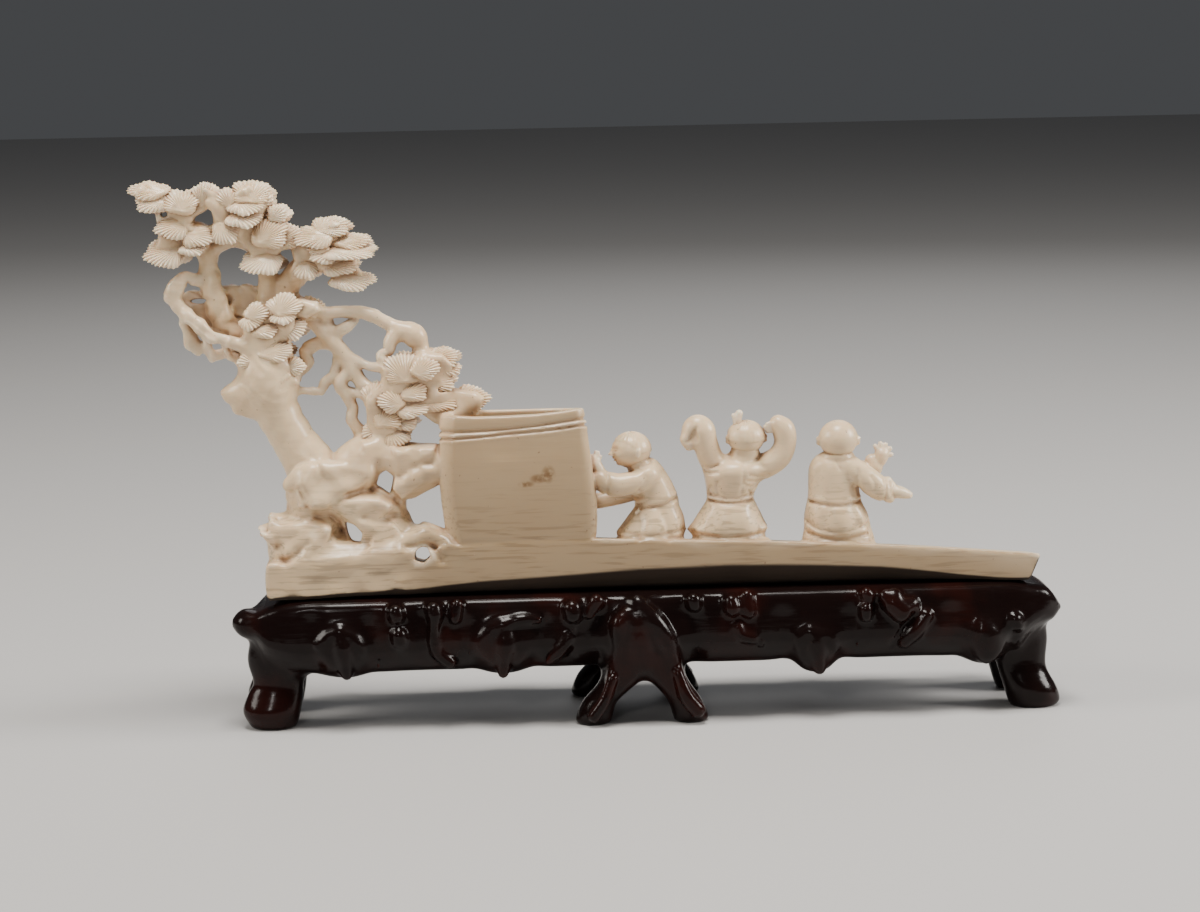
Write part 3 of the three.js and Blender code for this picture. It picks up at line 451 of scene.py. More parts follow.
RIDGES = [
    [(-72.4, -3.6, 69.6, 3.4), (-68.4, -5.4, 64.8, 4.2), (-65.6, -6.6, 58.6, 4.4)],
    [(-54.8, -5.6, 67, 4.2), (-58, -6.2, 62.8, 4.8), (-62.7, -6.6, 58.9, 4.6),
     (-67.9, -7.4, 55.8, 3.7), (-71.6, -7.4, 53.6, 2.5)],
    [(-56.6, -5.4, 67.6, 3.2), (-52.7, -6, 67.4, 3.6), (-49.6, -6.2, 65.6, 3.8)],
    [(-49.6, -6.6, 65, 3.4), (-44.5, -6.8, 64.8, 3.6), (-38.6, -7.4, 64.6, 3.2)],
    [(-39, -7.4, 63, 3.6), (-42.7, -7, 60.8, 3.4), (-47, -6.4, 58.5, 3.4)],
    [(-62.4, -6.8, 53.2, 4.2), (-57.7, -7.4, 54.8, 4.6), (-52, -7, 53.4, 4.2)],
    [(-79, -6.4, 50.8, 1.1), (-75.2, -8.2, 49.2, 2.7), (-70, -9, 49.3, 3.1),
     (-66.2, -9, 50.2, 2.2)],
    [(-81, -6, 48.9, 0.9), (-78.5, -7.4, 45, 2.2), (-74.8, -8.6, 40.9, 2.7)],
    [(-56.4, -7.4, 50, 3.2), (-50.8, -7.8, 48.1, 3.2), (-46.4, -8, 46.6, 2.8),
     (-41.1, -8.6, 46.9, 2.3), (-36.7, -10.4, 45.1, 1.9), (-33.4, -11.2, 43.4, 1.3)],
    [(-54.9, -8.8, 47.4, 2), (-50.3, -9.6, 42.8, 2.3), (-47.2, -10.6, 38.4, 1.7)],
    [(-72.4, -5.6, 61, 2), (-70.4, -6.6, 63.6, 1.9)],
    [(-58.4, -9.2, 43, 2.6), (-64.6, -9.4, 43.6, 2.8), (-71, -9, 43, 2.4)],
]
FURROWS = [
    ([(-68.6, 52.4), (-64.4, 51.6), (-62.6, 48.4)], 1.7, 1.5),
    ([(-70.8, 46), (-76.1, 42.2), (-77.8, 45.4)], 1.1, 1.1),
    ([(-53.5, 64.2), (-52.6, 61)], 1.7, 1.1),
    ([(-47.8, 61.6), (-45.2, 63.6), (-40.6, 64.9)], 1.2, 1.0),
    ([(-50, 55.6), (-55.7, 57.8), (-60.4, 57.4)], 1.0, 0.9),
    ([(-49.9, 52.2), (-53.8, 51.2), (-57, 52)], 1.1, 0.9),
    ([(-72.2, 59.4), (-70.5, 55.2)], 0.8, 0.7),
    ([(-47, 44.6), (-41.8, 44.9), (-38.6, 41.6)], 0.9, 0.8),
    ([(-66.4, 62.6), (-68.4, 66), (-72, 69.4)], 0.7, 0.4),
]
# Broad faces of the rock: outline (x, z), middle y, half thickness, lean in x and in z.
ROCK_SLABS = [
    ([(-73.1, 60.6), (-72.1, 62.6), (-69.2, 64.4), (-64.4, 65), (-59.3, 64.5), (-57.2, 70),
      (-52.7, 70.2), (-52.1, 66.6), (-53.6, 62.1), (-58.1, 58.9), (-63.4, 56.5), (-66, 53.9),
      (-70.5, 54.1), (-73, 54.8)], -7.4, 3.4, (0.05, 0.16)),
    ([(-64, 55.2), (-58.2, 57.6), (-53.1, 57.5), (-49.9, 55.1), (-50.6, 52.9), (-55.8, 51),
      (-61.6, 51.2)], -8.2, 3.4, (-0.06, -0.22)),
    ([(-82.6, 49.3), (-80.6, 49.0), (-79.7, 52.4), (-77.4, 51.0), (-75.7, 50.9), (-66.1, 51.3),
      (-64.2, 49.6), (-66.3, 46.1), (-70.9, 41.6), (-76, 42.4), (-78.8, 43.8)], -8.0, 3.4,
     (-0.08, 0.10)),
    ([(-50.2, 68.5), (-39.3, 68.5), (-40.1, 61.7), (-44.7, 57.9), (-48, 56.1), (-49.8, 58.7),
      (-49.4, 62)], -7.4, 3.4, (0.04, 0.12)),
    ([(-55.9, 47.1), (-50.7, 50.9), (-47.6, 47.5), (-43, 49.4), (-37.3, 47.3), (-34.5, 44.6),
      (-37.4, 44), (-43.1, 45.5), (-47.7, 43), (-52.2, 43.1), (-55.4, 43.8)], -8.6, 3.2,
     (-0.06, 0.14)),
    ([(-79.9, 41.2), (-70.9, 41.6), (-57.4, 43.2), (-51.1, 37.1), (-47.3, 34.4), (-73.1, 32.5),
      (-80.2, 32.7)], -9.0, 3.6, (0.0, 0.10)),
    ([(-54.4, 40.4), (-50.6, 42.2), (-44.6, 39.2), (-40.4, 36.4), (-41.5, 33.2),
      (-49.6, 33.2)], -9.2, 3.5, (0.05, 0.06)),
]
SLAB_BILLOW = 0.3
ROCK_FILL = [((-58, -4, 64), (6.5, 6, 6)), ((-43.5, -4.2, 62.8), (6, 5.8, 4.6)),
             ((-67, -5, 58.5), (7, 5.6, 5.5))]
ROCK_LIP = [(-75, -7, 60, 1.6), (-71.5, -8.4, 62.6, 2.2), (-67, -8.8, 63.6, 2.2),
            (-62, -8.6, 63.4, 1.8)]
RIDGE_SINK = 1.0
ROCK_FRONT = (-16, -3)
# Knife marks: two corners of their box, height, length.
ROCK_MARKS = ((-86, -18, 40), (-35, 16, 67), 0.36, 8.0)
ROCK_HOLES = [
    [(-51.6, 62.4), (-53.4, 61.2), (-53.8, 58.8), (-52.4, 57.6), (-50.8, 56.4), (-50.2, 58.4),
      (-49.8, 60.8)],
    [(-61.8, 50), (-59.4, 49.2), (-57.5, 47), (-58.2, 44.8), (-60.2, 45.2), (-61.4, 47.2)],
    [(-43.6, 43.4), (-42, 43.2), (-41.2, 41), (-43, 39.4), (-45.2, 40.2), (-45, 42.2)],
]

# Trunk, limbs and loops of the pine, as rows of (x, y, z, radius).
PINE_LIMBS = [
    [(-67.4, -1, 58, 7.6), (-70.4, -2, 64.5, 6.1), (-74.4, -2, 71, 5.3), (-77.8, -2, 78, 5.6),
     (-79.6, -2, 84, 7), (-79.6, -1, 89, 6.6), (-79.5, 0, 93, 5.2)],
    [(-83, -2, 82, 5.2), (-87, -2, 81.6, 3.2), (-90.4, -2, 82, 0.8)],
    [(-81, -2, 79, 4), (-86.4, -2, 78.2, 2)],
    [(-79.5, 0, 93, 5), (-78, 1, 98.5, 4.6), (-78.6, 1, 106, 2.8), (-79, 1, 113, 2),
     (-79.8, 1, 122, 2.2)],
    [(-78, 1, 98, 3), (-75.6, 1, 104.6, 3), (-72.4, 1, 109.4, 3), (-66.5, 1, 113.5, 2.6),
     (-62.5, 1, 115.5, 2.2)],
    [(-82.5, 1, 92, 3.4), (-89, 1, 98, 3.2), (-92, 0, 106, 2.7), (-93, 0, 113.5, 2.2),
     (-95, 0, 121, 2.2)],
    [(-93, 0, 112.5, 1.7), (-91, 0, 116.5, 1.5), (-86, 0, 118, 1.1), (-80, -2, 115.5, 1)],
    [(-92.5, 0, 109.4, 1.72), (-95.6, -1, 109.2, 1.48), (-98.4, -1.6, 110.2, 1.4),
     (-100.6, -2, 107.6, 1.95), (-101.2, -2, 104.6, 1.64), (-99.2, -2, 101.8, 1.48),
     (-98.6, -1.5, 98, 1.4), (-97.4, -1.2, 94.6, 1.64), (-94.6, -1, 92.8, 1.17),
     (-92.6, -1, 90.4, 1.01), (-89, -1, 91.6, 1.17), (-86, -1, 89.4, 1.25), (-83, -1, 88.8, 1.56)],
    [(-99.6, -2.4, 102.6, 1.48), (-97.2, -4, 100.4, 1.64), (-94.6, -4.6, 98.2, 1.72),
     (-92.4, -5, 95.8, 1.4), (-89.2, -5, 95.2, 1.33), (-86.6, -4.8, 94, 1.64),
     (-83.5, -4, 94.2, 1.56)],
    [(-95.4, -3, 97.6, 1.09), (-93.8, -2.4, 94.6, 0.94), (-92.6, -1.6, 91.8, 0.94)],
    [(-89.6, -4, 95, 0.94), (-89.2, -3, 92.8, 0.78), (-88.4, -2, 90.8, 0.86)],
    [(-101.6, -2, 107.8, 1.17), (-102.6, -2, 105.2, 1.09)],
    [(-97.8, -1.6, 93.2, 1.17), (-96.4, -1.4, 92.2, 1.01)],
    [(-73, 0, 101.4, 2), (-65, -1.6, 100.9, 1.5), (-57.5, -2, 100.9, 1.5), (-53.6, -2.2, 99.8, 1.7),
     (-50, -2.4, 97.8, 1.6), (-46.8, -2.8, 96.2, 2.2), (-44, -3, 95, 2.9), (-42.6, -3, 92.8, 2.1),
     (-42.4, -3, 90, 2.1)],
    [(-47.6, -3, 96, 2.1), (-49.6, -3.6, 93.6, 1.8), (-50, -4, 91.4, 1.3), (-52, -4, 90.4, 1.2),
     (-51, -4.6, 88.6, 1.4)],
    [(-73, 2, 103.5, 2), (-69, 0, 99.2, 1.6), (-65.6, -0.8, 95.6, 1.7), (-63, -1.4, 93, 2.1),
     (-61, -2, 90.6, 1.7), (-59, -2.4, 87, 1.9), (-57, -2.8, 84, 1.6), (-53.5, -5, 81.5, 1.6)],
    [(-67.6, 0, 99.2, 0.9), (-65.5, 0, 99.8, 1.3), (-64, -1, 97, 1.4)],
    [(-63.5, -1, 95.4, 1.4), (-60.5, -2, 97, 1.5), (-57.5, -2, 98.6, 0.5)],
    [(-60.5, -2, 90.5, 1.2), (-55, -3.4, 87.8, 1.1), (-48.5, -6, 87, 1.2)],
    [(-60.6, -2.4, 85.6, 1.4), (-62, -2.4, 83.4, 1.7), (-60.4, -2.2, 80.4, 1.6),
     (-59.2, -2, 77.6, 1.4), (-59.6, -2, 75, 1.5), (-57.8, -2, 71.8, 1.6), (-55.4, -2, 69.4, 2),
     (-54.6, -2, 67.4, 2.4)],
    [(-59.5, -2, 81.5, 1.1), (-56, -4, 80.5, 1), (-52.5, -6, 79.5, 1.1)],
    [(-62, -1, 91.5, 1.5), (-62.6, -1, 88, 1.4), (-63.6, -1, 85.4, 1.3), (-65.8, -1, 83.8, 1.3),
     (-67, -1, 81.6, 1.1), (-70.4, -1, 81.9, 0.9), (-75, -1, 81.2, 1.3)],
    [(-64.4, 0, 92.6, 1.2), (-67.4, 1, 93, 1.6), (-70.2, 1, 91.2, 1.7), (-69.8, 1, 88.6, 1.4),
     (-71.6, 1, 87, 1.6), (-74, 1, 85, 1.4)],
    [(-99.5, 0, 125.6, 1.2), (-102.4, -0.6, 128.6, 1.1), (-105.4, -1.6, 130.2, 0.8)],
    [(-101, 0, 120, 1.6), (-101.4, -1, 117.4, 1.4)],
    [(-39, -3, 82, 1.8), (-35.4, -3.6, 80.4, 1.5), (-31.6, -4, 79.4, 1.2)],
]
# The masses that the tufts are carved on: outline (x, z), middle y, half thickness.
CROWNS = [
    ([(-110, 131.2), (-108, 132.6), (-105.5, 132), (-103, 131), (-101.4, 129.6), (-98, 130.2),
      (-96, 130), (-94, 131.6), (-92.5, 132), (-90.8, 130.6), (-91.4, 128.4), (-93, 126),
      (-95.4, 124.6), (-96.4, 123), (-95.2, 122), (-91.6, 122.4), (-91.4, 121), (-92.6, 119.2),
      (-94.4, 117), (-97.5, 115.6), (-101, 114), (-104.5, 113.4), (-106.4, 114.6),
      (-106.8, 116), (-104.6, 119), (-104.3, 122.3), (-105, 126), (-108.4, 127)], -0.6, 2.9),
    ([(-92, 131), (-88.5, 130.2), (-86.2, 130.4), (-84, 131.6), (-82, 132), (-80, 131),
      (-77.4, 129.6), (-77.6, 127), (-78.8, 125), (-79, 123), (-76, 123), (-73, 121.6),
      (-71.2, 120), (-71.2, 118), (-75, 116.4), (-75.6, 115.4), (-77.4, 113.4), (-80, 111.4),
      (-82, 111.4), (-84, 112.4), (-82.6, 115.5), (-84, 118), (-86.7, 119.2), (-91, 118.8),
      (-91, 123), (-91.4, 126), (-92.6, 128)], -0.8, 3.2),
    ([(-79, 122.6), (-75.7, 122.6), (-73, 121.4), (-70.8, 120), (-67.6, 121), (-65, 123),
      (-62.6, 123.2), (-60.4, 122.4), (-61.8, 121), (-62.6, 119.4), (-60, 118.6), (-55.6, 118.6),
      (-53.4, 116.2), (-55, 115), (-57.2, 114), (-57.2, 112), (-55.8, 110), (-54.2, 108.6),
      (-56, 107.2), (-58.4, 106.9), (-62, 108), (-65.2, 110.6), (-68.4, 109.6), (-71.4, 109.9),
      (-73, 109), (-73.6, 111), (-72, 113.5), (-73, 116.4), (-77, 117.4)], -0.6, 3.0),
    ([(-81, 102.8), (-78.6, 102.4), (-76.6, 104), (-73, 104.6), (-69.2, 104.2), (-66.8, 103.8),
      (-66, 101.8), (-69.6, 99.9), (-72.2, 100.2), (-71.8, 97.4), (-74.6, 93.7), (-75.4, 89.9),
      (-72, 88), (-72, 84), (-75.9, 84.4), (-80.3, 84.6), (-85.2, 89.3), (-85, 93.6),
      (-84.6, 99)], -2.4, 4.0),
    ([(-51.2, 87.2), (-48, 89.4), (-45, 89.8), (-41, 91.2), (-37.2, 90.5), (-34.6, 88),
      (-34.8, 85.5), (-36.4, 82), (-33, 81.4), (-29.2, 81.2), (-27.2, 79.8), (-28, 77.5),
      (-29.4, 75.2), (-33.4, 74.6), (-37.8, 74.2), (-39.4, 73.6), (-42.8, 76.2), (-46, 74.6),
      (-46.6, 71.3), (-47.6, 68.4), (-49.2, 67.6), (-53, 69.6), (-55.8, 72.6), (-56, 80.8),
      (-52.6, 83.2)],
     -3.4, 3.6),
]
PINE_WEB = [(-100.4, 105.8), (-90, 107.4), (-84, 107.8), (-80, 106.6), (-78, 96), (-86, 91.4),
            (-95, 95.2), (-100.4, 101.4)]
WEB_MIDDLE_Y = 2.75
WEB_HALF_THICKNESS = 1.25
CROWN_BILLOW = 0.35
PINE_SLOTS = [((-95.6, 104.9), (2, 0.6)), ((-102.8, 125.8), (0.8, 0.8)),
              ((-51.5, 78.6), (1.6, 1.2)), ((-37.6, 81.6), (0.9, 0.7))]
PINE_MARKS = [((-116, -18, 66), (-41, 16, 138), 0.20, 5.0),
              ((-108, -18, 86), (-84, 16, 114), 0.32, 5.0)]


def panel(outline, middle_y, half_thickness, billow=0.0, rounding=0.6, lean=(0.0, 0.0)):
    """
    Shape of a panel: the larger of the outline's signed distance and the depth's. Its middle
    leans by shares of x and z, and billows in two crossed waves, and its rim is rounded.
    """
    corners = np.array(outline)
    middle_x, middle_z = corners.mean(0)

    def shape(x, y, z):
        nearest = np.full(np.broadcast_shapes(x.shape, z.shape), 1e9, np.float32)
        inside = np.zeros(nearest.shape, bool)
        for a, b in zip(corners, np.roll(corners, -1, axis=0)):
            way = b - a
            nearest = np.minimum(nearest, squared_gap(x, z, a, b))
            crossing = (a[1] > z) != (b[1] > z)
            at = a[0] + (z - a[1]) * way[0] / (way[1] if way[1] else 1e-9)
            inside ^= crossing & (x < at)
        edge = np.where(inside, -1, 1) * np.sqrt(nearest)
        middle = middle_y + lean[0] * (x - middle_x) + lean[1] * (z - middle_z)
        middle = middle + billow * (np.sin(0.72 * x + 0.4 * z) + np.sin(0.5 * x - 0.81 * z + 1.7))
        return soft_max(edge, np.abs(y - middle) - half_thickness, rounding)

    return shape


def add_panel(field, outline, middle_y, half_thickness, spare, soft, **look):
    """Joins a panel on, with spare room before and behind it for its lean and billows."""
    corners = np.array(outline)
    (low_x, low_z), (high_x, high_z) = corners.min(0), corners.max(0)
    reach = half_thickness + spare
    field.add(panel(outline, middle_y, half_thickness, **look), (low_x, middle_y - reach, low_z),
              (high_x, middle_y + reach, high_z), soft)


# The water vat, which is hollow and empty: flat and bevelled on the sawn side, with a belly
# behind, two grooves round it under a thick lip, and a wall as thick as the lip.
VAT_FOOT = 44.0
VAT_RIM = 76.4
VAT_FLOOR = 52.0
VAT_WALL = 2.2
VAT_PROFILE = np.array([
    # height, left, right, front, back
    (44, -37.2, -1.0, -13.0, 7.6), (50, -37.9, -0.5, -13.0, 7.6), (55, -38.5, -0.6, -13.0, 7.5),
    (60, -38.8, -1.2, -13.0, 6.8), (65, -38.8, -1.9, -12.9, 5.4), (69, -38.5, -2.5, -12.6, 3.8),
    (73, -38.5, -2.9, -12.3, 2.5), (76.6, -37.7, -3.5, -12.1, 1.7), (80, -37.2, -4, -12, 1.6),
])
VAT_LINES = np.array([
    # x, rim at the front, and how far under it lie the groove, bead, groove and bead
    (-38, 76.6, 4.2, 5.4, 6.0, 6.6), (-30, 75.9, 3.5, 4.3, 4.9, 5.6),
    (-23, 75.9, 3.3, 3.7, 4.4, 5.0), (-15, 76.2, 2.9, 3.3, 4.2, 4.7),
    (-9, 76.8, 2.6, 3.2, 4.1, 4.8), (-4, 77.6, 2.6, 3.4, 4.1, 4.8),
])
VAT_BACK_RIM = 75.8
# Which of the lines, width, depth.
GROOVES = [(2, 0.40, 0.62), (3, 0.34, -0.22), (4, 0.40, 0.58), (5, 0.45, -0.18)]
BEVEL_SLOPE = 0.7071
LEFT_BEVEL = 2.4
RIGHT_BEVEL = 1.2
RIGHT_ROUNDING = 3.4
ROUND_BELOW = 63.0
BACK_ROUNDING = 9.0
FOOT_INSET = 0.45
FOOT_TOP = 46.4
FOOT_EASING = 2.4


def vat_wall(x, y, z, inset):
    """
    Soft intersection of the vat's left, right, front and back walls at each height, its two
    front bevels and its two rounded back corners, all moved inwards by an inset.
    """
    rim = read(VAT_LINES, x)
    rim = rim + (VAT_BACK_RIM - rim) * np.clip((y - SAWN_FACE_Y) / 14, 0, 1)
    level = z - (rim - VAT_RIM) * np.clip((z - 62) / 8, 0, 1)
    left, right, front, back = (read(VAT_PROFILE, level, i) for i in (1, 2, 3, 4))
    left = left + inset - x
    right = x - right + inset
    near = front + inset - y
    far = y - back + inset
    bevel = (left + near) * BEVEL_SLOPE + LEFT_BEVEL - 0.6 * inset
    right_bevel = (right + near) * BEVEL_SLOPE + RIGHT_BEVEL - 0.5 * inset
    front_part = soft_max(near, bevel, 0.5)
    rounded = soft_max(front_part, right, RIGHT_ROUNDING)
    edged = soft_max(front_part, right_bevel, 0.5)
    front_part = rounded + (edged - rounded) * np.clip((level - ROUND_BELOW) / 5, 0, 1)
    round_back = soft_max(soft_max(left, far, BACK_ROUNDING), soft_max(right, far, BACK_ROUNDING),
                          2.0)
    wall = soft_max(front_part, round_back, 0.6)
    return soft_max(wall, np.maximum(left, right), 0.4), level


def vat_outside(x, y, z):
    """The wall with its grooves and beads, between the foot and the tilted rim."""
    wall, level = vat_wall(x, y, z, 0.0)
    wall = wall + FOOT_INSET * np.clip((FOOT_TOP - z) / FOOT_EASING, 0, 1)
    for index, width, depth in GROOVES:
        under = level - VAT_RIM + read(VAT_LINES, x, index)
        wall = wall + depth * np.exp(-(under / width) ** 2)
    return soft_max(soft_max(wall, level - VAT_RIM, 0.7), VAT_FOOT - z, 0.4)


def vat_inside(x, y, z):
    """The hollow: the wall moved inwards, above the floor."""
    wall, _ = vat_wall(x, y, z, VAT_WALL)
    return soft_max(wall, VAT_FLOOR - z, 1.6)


# The three boys' robes, sleeves and hands. They stand on the ledge with their backs to the sawn
# face. Rows of a robe are (x, y, z, half width, half depth), and of a sleeve (x, y, z, radius).
BOY_Y = -6.0
DEEPEST = 6.2
DEPTH_SHARE = 0.78


def robe_rows(rows):
    """Robe sections with a depth in step with the width, as far as the ledge has room for it."""
    return [(x, BOY_Y, z, r, min(DEPTH_SHARE * r, DEEPEST)) for x, z, r in rows]


def folds(count, height, phase, lean, from_z, to_z):
    """Soft folds round a robe: a cosine of the angle that drifts with the height."""
    def fold(angle, z):
        fade = np.clip((z - from_z) / 2, 0, 1) * np.clip((to_z - z) / 2, 0, 1)
        return height * np.cos(count * angle + phase + lean * z) * fade

    return fold


def add_pushing_boy(field):
    """The boy who leans on the vat: skirt, jacket, two sleeves, hands and the foot behind."""
    add_column(field, robe_rows([(12.4, 41.5, 7.9), (12.4, 44.4, 8.0), (12.4, 45.8, 8.3),
                                 (12.9, 47.2, 7.8), (13.6, 49.6, 6.7), (14.0, 52.0, 5.5),
                                 (14.0, 53.6, 5.0)]),
               folds(7, 0.16, 0.5, 0.1, 43, 52))
    add_column(field, robe_rows([(14.0, 52.2, 5.3), (13.8, 54.2, 5.4), (13.2, 56.4, 5.2),
                                 (12.4, 58.6, 5.0), (11.6, 60.8, 4.5), (10.9, 62.6, 3.9),
                                 (10.2, 64, 3.2)]), None, 0.35)
    add_limb(field, [(11.6, -8.2, 60, 3.1), (8.4, -9.2, 58.6, 3.0), (5, -9.6, 58, 2.9),
                     (1.8, -9.4, 58.6, 2.8), (0.4, -9.2, 59.6, 2.3)], 0.7)
    add_limb(field, [(0.8, -9.2, 60.6, 1.2), (-0.6, -8.9, 63, 1.3), (-1.0, -8.6, 64.4, 1.0)], 0.4)
    for dx, tip in ((-0.9, 65.4), (-0.2, 66.3), (0.5, 66.1), (1.1, 65.1)):
        add_limb(field, [(-0.7 + dx * 0.5, -8.8, 63.8, 0.5), (-0.6 + dx, -8.5, tip, 0.36)], 0.2, 2)
    add_limb(field, [(11, -3.4, 56.4, 2.6), (5, -2.6, 54.2, 2.1), (0.2, -3, 53.2, 1.9)], 0.8)
    add_limb(field, [(9.4, -9.0, 52.2, 0.7), (8.9, -9.0, 51.2, 0.7)], 0.7, 2)
    add_limb(field, [(15.5, -8, 43.4, 1.6), (19.4, -8.4, 43.2, 1.3)], 0.5)


def add_cheering_boy(field):
    """The boy with both arms thrown up: skirt, jacket, belt, wide sleeves, hand and topknot."""
    add_column(field, robe_rows([(31.6, 41.2, 8.8), (31.6, 44.2, 8.9), (31.6, 44.9, 9.1),
                                 (31.4, 46.2, 9.7), (31.6, 48.0, 8.6), (31.8, 50.6, 7.2),
                                 (31.9, 52.8, 6.0), (31.9, 53.8, 5.6)]),
               folds(9, 0.16, 1.2, 0.05, 43, 52))
    add_column(field, robe_rows([(31.9, 52.8, 5.7), (31.9, 54.0, 5.7), (32.2, 56.0, 6.2),
                                 (32.6, 58.6, 7.0), (33.0, 60.6, 7.4), (33.6, 62.2, 6.4),
                                 (34.6, 63.6, 4.6), (35.2, 64.8, 3.6)]),
               folds(5, 0.1, 0.4, 0.1, 54, 61), 0.35)
    add_limb(field, [(29.4, -6, 60.6, 3.5), (27.4, -6.4, 63.4, 3.1), (26.2, -6.8, 66.6, 3.0),
                     (25.4, -7, 70, 2.9)], 0.9)
    add_ball(field, (24.2, -6.8, 70.2), (4.0, 3.2, 4.2), soft=1.0)
    add_limb(field, [(21.6, -7.4, 68.4, 1.9), (21.9, -7.6, 66.9, 1.2)], 0.8)
    field.cut(ball((22.8, -10.4, 69), (1.5, 1.7, 2.6)), (19, -14, 66), (27, -8, 73), 0.5)
    add_limb(field, [(37.6, -6, 60.6, 3.4), (41, -6.4, 61.6, 3.1), (44, -6.6, 63.6, 2.9),
                     (45.4, -6.6, 66.8, 2.7), (45.1, -6.6, 70, 2.8), (43.8, -6.6, 71.6, 2.2)], 0.9)
    for dz, reach in ((-0.9, 40.9), (-0.2, 40.3), (0.5, 40.4), (1.2, 40.9)):
        add_limb(field, [(43.2, -7, 71 + dz, 0.6), (reach, -7.4, 70.7 + dz * 0.9, 0.42)], 0.2, 2)
    add_limb(field, [(34.1, -6.6, 71.2, 1.2), (33.8, -6.6, 73, 1.1), (34.3, -6.6, 74.4, 0.95)],
             0.3, 2)
    add_limb(field, [(33.6, -6.6, 73, 0.8), (32.8, -6.6, 74, 0.5)], 0.3, 2)
    add_limb(field, [(36.5, -9, 43, 1.5), (40.2, -9, 43, 1.2)], 0.5)


def add_clapping_boy(field):
    """The bald boy with one hand held out and the other open behind it."""
    add_column(field, robe_rows([(58.3, 39.6, 9.0), (58.3, 42.4, 8.9), (58.1, 45.4, 8.1),
                                 (57.8, 48.6, 7.7), (57.4, 51.4, 6.9), (57.3, 53.2, 6.2)]),
               folds(8, 0.14, 2.0, 0.08, 42, 51))
    add_column(field, robe_rows([(57.4, 52.0, 6.6), (57.3, 54.4, 6.3), (57.2, 57, 6.2),
                                 (57.2, 60.2, 6.0), (57.4, 62.2, 5.4), (57.9, 64, 4.2)]),
               None, 0.35)
    add_limb(field, [(60.6, -7.6, 60.8, 3.0), (64.4, -8.4, 58.2, 3.1), (67.8, -8.2, 55.6, 3.0),
                     (69.6, -8, 54.6, 2.7)], 0.7)
    add_limb(field, [(70.2, -8, 57, 1.2), (71.1, -8.2, 55, 1.5), (70.7, -8, 52.9, 1.3)], 0.4)
    add_limb(field, [(71.2, -7.8, 54.6, 1.7), (73.6, -7.4, 54.0, 1.5), (75.6, -7, 53.3, 0.95)], 0.3)
    add_limb(field, [(61.6, -2, 59.6, 2.6), (65.2, 0, 58.4, 2.5), (67.8, 0, 59.2, 2.3),
                     (67.4, 0, 61, 1.6)], 0.8)
    add_limb(field, [(68.2, 0, 60, 1.5), (69.4, 0, 61.2, 1.8), (69.9, 0, 62.4, 1.8)], 0.3)
    for tip_x, tip_z in ((68.3, 64.5), (69.6, 65.1), (70.9, 64.8), (72.0, 63.8), (72.3, 62.3)):
        add_limb(field, [(69.9, 0, 62.2, 0.9), (tip_x, 0, tip_z, 0.6)], 0.2, 2)


NECKS = [((9.0, -6.2, 63.4), (3.2, 3, 2.2)), ((35.6, -6.2, 65.0), (3.5, 3.2, 2.4)),
         ((58.1, -6.4, 63.4), (3.9, 3.6, 1.6))]

